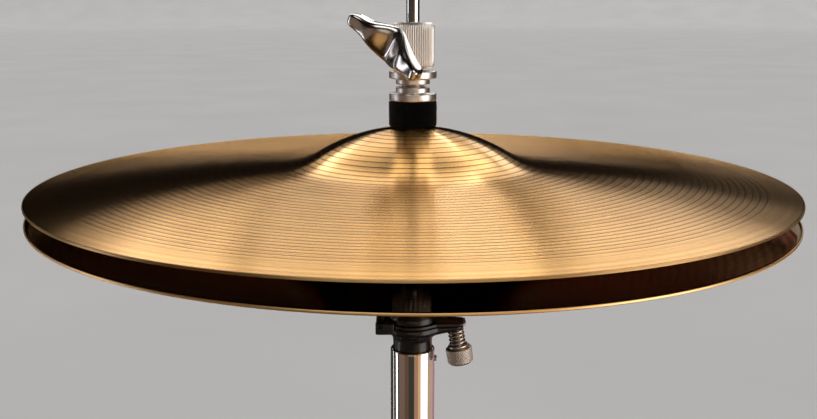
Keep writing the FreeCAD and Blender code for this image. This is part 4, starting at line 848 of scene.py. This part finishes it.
def tilt_knob():
    """The knob of the tilt screw, with a diamond knurl between two bevels."""
    radius, bore, lip, bevel = 6.6, 2.5, 0.3, 1.3
    rows, pitch, count, depth = 44, 1.4, 28, 0.5
    outline = [(bore, 0.4), (bore + lip, 0.0), (radius - bevel, 0.0), (radius - 1.05, 0.08),
               (radius - 0.15, 0.95)]
    outline += [(radius, 1.1 + (KNOB_TALL - 2.2) * k / rows) for k in range(rows + 1)]
    outline += [(radius - 0.15, KNOB_TALL - 0.95), (radius - 1.05, KNOB_TALL - 0.08),
                (radius - bevel, KNOB_TALL), (bore + lip, KNOB_TALL), (bore, KNOB_TALL - 0.4)]

    def diamond(r, z, angle):
        if r < (radius - 0.1) * MM:
            return r, z
        across = count * angle / (2 * math.pi)
        up = z / MM / pitch
        left, right = (across + up) % 1.0, (across - up) % 1.0
        groove = max(abs(2 * left - 1) ** 4, abs(2 * right - 1) ** 4)
        return r - depth * MM * groove, z

    ring_piece("tilt_knob_knurled", "tilt_knob", "tilt_adjuster", NICKEL, outline,
               segments=count * 11, shape=diamond, place=along_tilt(KNOB_LOW))


def tilt_screw():
    """The threaded rod of the tilt screw, from inside the knob up into the arm."""
    core, crest, end, chamfer, tall, row = 0.001, 2.5, 2.1, 0.4, 20.0, 0.1
    depth, pitch, thread_from = 0.4, 0.8, 2.3
    steps = int(tall / row)
    outline = [(core, 0.0), (end, 0.0)]
    outline += [(crest, chamfer + (tall - 2 * chamfer) * k / steps) for k in range(steps + 1)]
    outline += [(end, tall), (core, tall)]
    ring_piece("tilt_screw_threaded", "tilt_screw", "tilt_adjuster", ZINC, outline,
               segments=32, shape=threaded(depth, pitch, thread_from), place=along_tilt(KNOB_LOW + 0.5))


def tilt_washer():
    """The flat washer between the knob and the spring."""
    bore, radius, thick = 2.6, 5.05, 0.7
    outline = rounded([(bore, thick / 2), (bore, 0.0), (radius, 0.0), (radius, thick), (bore, thick),
                       (bore, 0.36)], 0.15, 3)
    ring_piece("tilt_washer_turned", "tilt_washer", "tilt_slider", ZINC, outline,
               place=along_tilt(-9.75))


def coil_path(radius, pitch, height, wire, end_turns, steps=28):
    """Points of a spring with closed ends; steps is the number of points in one turn."""
    points = []
    turns = height / pitch + 2 * end_turns
    total = int(turns * steps)
    for i in range(total + 1):
        turn = i / steps
        inner = min(max(turn - end_turns, 0.0), height / pitch)
        squeeze = wire * 0.9 * (min(turn, end_turns) + max(0.0, turn - end_turns - height / pitch))
        z = inner * pitch + squeeze
        angle = 2 * math.pi * turn
        points.append(Vector((radius * math.cos(angle), radius * math.sin(angle), z)) * MM)
    return points


def tilt_spring():
    """The short spring between the washer and the arm."""
    wire = 0.55
    vertices, faces = tube_along(coil_path(3.65, 2.0, 6.9, wire, 0.5), wire * MM)
    add_mesh("tilt_spring_coiled", moved(vertices, along_tilt(-8.3)), faces, "tilt_slider",
             ["tilt_spring"], SPRING, 80)


def return_spring():
    """The long spring that lifts the pull rod."""
    wire = 1.1
    vertices, faces = tube_along(coil_path(8.0, 7.0, 70.0, wire, 0.9, 36), wire * MM)
    add_mesh("return_spring_coiled", moved(vertices, on_axis(171.2 * MM)), faces, "root",
             ["return_spring"], SPRING, 80)


def seat_cup():
    """The moulded cup that the seat felt rests on, with its sleeve through the lower cymbal."""
    low, _ = node_span("seat_cup")
    bore, sleeve, foot, waist, rim, tall = 4.6, 5.3, 12, 10, 17, 40.2
    outline = rounded([(bore, 10), (bore, 0), (foot, 0), (foot, 3), (waist, 6), (waist, 18.7), (rim, 24.7),
                       (rim, 27.7), (sleeve, 27.7), (sleeve, tall), (bore, tall), (bore, 10.1)], 0.8, 4)
    ring_piece("seat_cup_moulded", "seat_cup", "seat", PLASTIC, outline, low.z, 128)


def upper_tube():
    """The chromed tube with the rounded lip at its top."""
    low, high = node_span("upper_tube")
    tall, outer, inner = (high.z - low.z) / MM, 11.1, 9.9
    chamfer, lip, rows, lip_rows = 0.3, 0.9, 10, 8
    outline = [(inner, chamfer), (inner + chamfer, 0), (outer - chamfer, 0), (outer, chamfer)]
    outline += [(outer, chamfer + (tall - 3) * k / rows) for k in range(1, rows + 1)]
    outline += [(outer - lip * (1 - math.cos(a)), tall - lip * (1 - math.sin(a)))
                for a in (math.pi / 2 / lip_rows * k for k in range(lip_rows + 1))]
    outline += [(inner, tall - chamfer)]
    ring_piece("upper_tube_polished", "upper_tube", "seat_tube", CHROME, outline,
               low.z, 128)


# ------------------------------------------------------------------ studio and camera

def area_light(name, place, target, width, height, radiance, colour, roll=0.0):
    """A panel of a given brightness that faces a point; only shiny surfaces see it."""
    data = bpy.data.lights.new(name, "AREA")
    data.shape = "RECTANGLE"
    data.size, data.size_y = width, height
    data.energy, data.color = radiance * math.pi * width * height, colour
    lamp = bpy.data.objects.new(name, data)
    lamp.location = place
    lamp.rotation_euler = (Vector(target) - Vector(place)).to_track_quat("-Z", "Y").to_euler()
    lamp.rotation_euler.rotate_axis("Z", math.radians(roll))
    lamp.visible_camera = False
    lamp.visible_diffuse = False
    bpy.context.collection.objects.link(lamp)


HEART = (0, 0, 0.87)
WARM, CREAM = (1.0, 0.97, 0.93), (1.0, 0.90, 0.74)
HIGH_PANELS = [
    # name, place, width, height, radiance, colour, roll
    ("back_panel", (0.25, 1.07, 1.98), 2.7, 0.48, 2.6, WARM, 0),
    ("upper_panel", (0.10, 0.66, 2.25), 2.3, 0.45, 0.9, WARM, 0),
    ("side_panel", (0.72, 1.24, 1.57), 0.80, 0.30, 1.9, WARM, 0),
    ("corner_panel", (-0.60, 1.23, 1.69), 0.36, 0.20, 2.6, WARM, 0),
    ("low_left_panel", (-0.22, 1.44, 1.51), 0.26, 0.20, 1.5, WARM, 0),
    ("low_panel", (0.144, 1.50, 1.42), 0.17, 0.15, 0.9, WARM, 0),
    ("low_corner_panel", (-0.66, 1.27, 1.47), 0.26, 0.20, 1.4, CREAM, 0),
    ("low_side_panel", (0.64, 1.30, 1.27), 0.34, 0.20, 0.36, CREAM, 0),
    ("overhead_panel", (0.0, 0.30, 1.75), 0.28, 0.34, 2.2, WARM, 0),
    ("back_strip", (0.206, 1.377, 1.658), 0.05, 0.60, 5.0, WARM, 33),
    ("front_top_panel", (0.0, -1.15, 1.78), 1.6, 0.75, 1.7, WARM, 0),
]
WALL_REACH = 1.6
WALL_PANELS = [
    # name, degrees round from the front towards +X, middle height, width, height, radiance, colour
    ("right_panel", 64, 0.50, 1.16, 1.60, 2.3, (1.0, 0.97, 0.94)),
    ("cream_panel", 36, 0.42, 0.45, 1.40, 0.70, (1.0, 0.55, 0.26)),
    ("amber_panel", 18, 0.30, 0.55, 1.20, 0.36, (1.0, 0.52, 0.27)),
    ("front_panel", 0, 0.62, 1.30, 0.50, 0.60, (1.0, 0.90, 0.80)),
    ("beige_panel", 106, 0.00, 1.30, 1.00, 0.48, (1.0, 0.66, 0.48)),
    ("mauve_panel", 150, 0.00, 1.40, 1.00, 0.34, (1.0, 0.52, 0.62)),
    ("umber_strip", -30, 0.30, 0.50, 1.20, 0.08, (1.0, 0.36, 0.10)),
    ("brown_panel", -58, 0.30, 1.00, 1.20, 0.13, (1.0, 0.56, 0.36)),
    ("left_strip", -91, 0.50, 0.34, 1.60, 2.0, (0.92, 0.90, 1.0)),
    ("pale_strip", -119, 0.50, 0.09, 1.60, 1.6, (0.97, 0.94, 0.90)),
]


def panels():
    """Panels above the stand for the cymbals, and a ring of upright ones for the round metal."""
    for name, place, width, height, radiance, colour, roll in HIGH_PANELS:
        area_light(name, place, HEART, width, height, radiance, colour, roll)
    for name, turn, z, width, height, radiance, colour in WALL_PANELS:
        around = math.radians(turn)
        place = (WALL_REACH * math.sin(around), -WALL_REACH * math.cos(around), z)
        area_light(name, place, (0, 0, z), width, height, radiance, colour)


def soft_sun():
    """A wide sun that lights the floor and every dull surface, and shows in no reflection."""
    strength, spread_degrees = 2.3, 50
    data = bpy.data.lights.new("soft_sun", "SUN")
    data.energy, data.angle = strength, math.radians(spread_degrees)
    sun = bpy.data.objects.new("soft_sun", data)
    sun.rotation_euler = (math.radians(14), math.radians(-10), 0)
    sun.visible_glossy = False
    bpy.context.collection.objects.link(sun)


def studio_world():
    """A dim surround: faintly warm below the horizon and nearly black above it."""
    below, above, above_from = (0.050, 0.043, 0.036, 1), (0.003, 0.002, 0.0015, 1), 0.05
    world = bpy.data.worlds.new("studio")
    world.use_nodes = True
    tree = world.node_tree
    place = tree.nodes.new("ShaderNodeTexCoord")
    split = tree.nodes.new("ShaderNodeSeparateXYZ")
    shade = tree.nodes.new("ShaderNodeValToRGB")
    tree.links.new(place.outputs["Generated"], split.inputs[0])
    tree.links.new(split.outputs["Z"], shade.inputs["Fac"])
    tree.links.new(shade.outputs["Color"], tree.nodes["Background"].inputs["Color"])
    low, high = shade.color_ramp.elements
    low.position, low.color = 0.0, below
    high.position, high.color = above_from, above
    bpy.context.scene.world = world
    bpy.context.scene.view_settings.view_transform = "Standard"


def floor():
    """A pale floor whose far edge rises as a low wall; metals see the dim studio instead of it."""
    n = Nodes("pale_floor")
    cloud = n.noise(n.place(), 0.9, 3.0, 0.5)
    n.shader.inputs["Specular IOR Level"].default_value = 0.0
    material = n.set(Base_Color=n.ramp(cloud, [(0.3, (0.62, 0.61, 0.60)), (0.7, (0.66, 0.65, 0.64))]),
                     Roughness=0.85)
    around, reach, rings, wall, wall_rings = 96, 40.0, 20, 9.0, 10
    profile = [(reach * (i / rings) ** 2, 0.0) for i in range(1, rings + 1)]
    profile += [(reach + wall * math.sin(a), wall * (1 - math.cos(a)))
                for a in (math.pi / 2 * k / wall_rings for k in range(1, wall_rings + 1))]
    turns = [2 * math.pi * j / around for j in range(around)]
    vertices = [(0, 0, 0)]
    for radius, height in profile:
        vertices += [(radius * math.cos(a), radius * math.sin(a), height) for a in turns]
    faces = [(0, 1 + j, 1 + (j + 1) % around) for j in range(around)]
    for i in range(len(profile) - 1):
        a, b = 1 + i * around, 1 + (i + 1) * around
        faces += [(a + j, b + j, b + (j + 1) % around, a + (j + 1) % around) for j in range(around)]
    mesh = bpy.data.meshes.new("floor")
    mesh.from_pydata(vertices, [], faces)
    mesh.materials.append(material)
    for face in mesh.polygons:
        face.use_smooth = True
    ground = bpy.data.objects.new("floor", mesh)
    ground.visible_glossy = False
    bpy.context.collection.objects.link(ground)


def camera():
    """The eye is just above the cymbals, nearly half a metre in front, looking slightly down."""
    place, degrees_down, focal_length = (-0.00207, -0.4677, 0.9534), 11.89, 42.96
    data = bpy.data.cameras.new("camera")
    data.sensor_width, data.lens = 36.0, focal_length
    eye = bpy.data.objects.new("camera", data)
    eye.location = place
    eye.rotation_euler = (math.radians(90 - degrees_down), 0, 0)
    bpy.context.collection.objects.link(eye)
    bpy.context.scene.camera = eye


# ------------------------------------------------------------------ build

camera()
panels()
soft_sun()
studio_world()
floor()
dress_cad_nodes()
cymbals()
clutch_body()
clutch_tube()
lock_nuts()
end_nut()
wing_screws()
felts()
pull_rod()
seat_base()
tilt_plate()
tilt_knob()
tilt_screw()
tilt_washer()
tilt_spring()
return_spring()
seat_cup()
upper_tube()
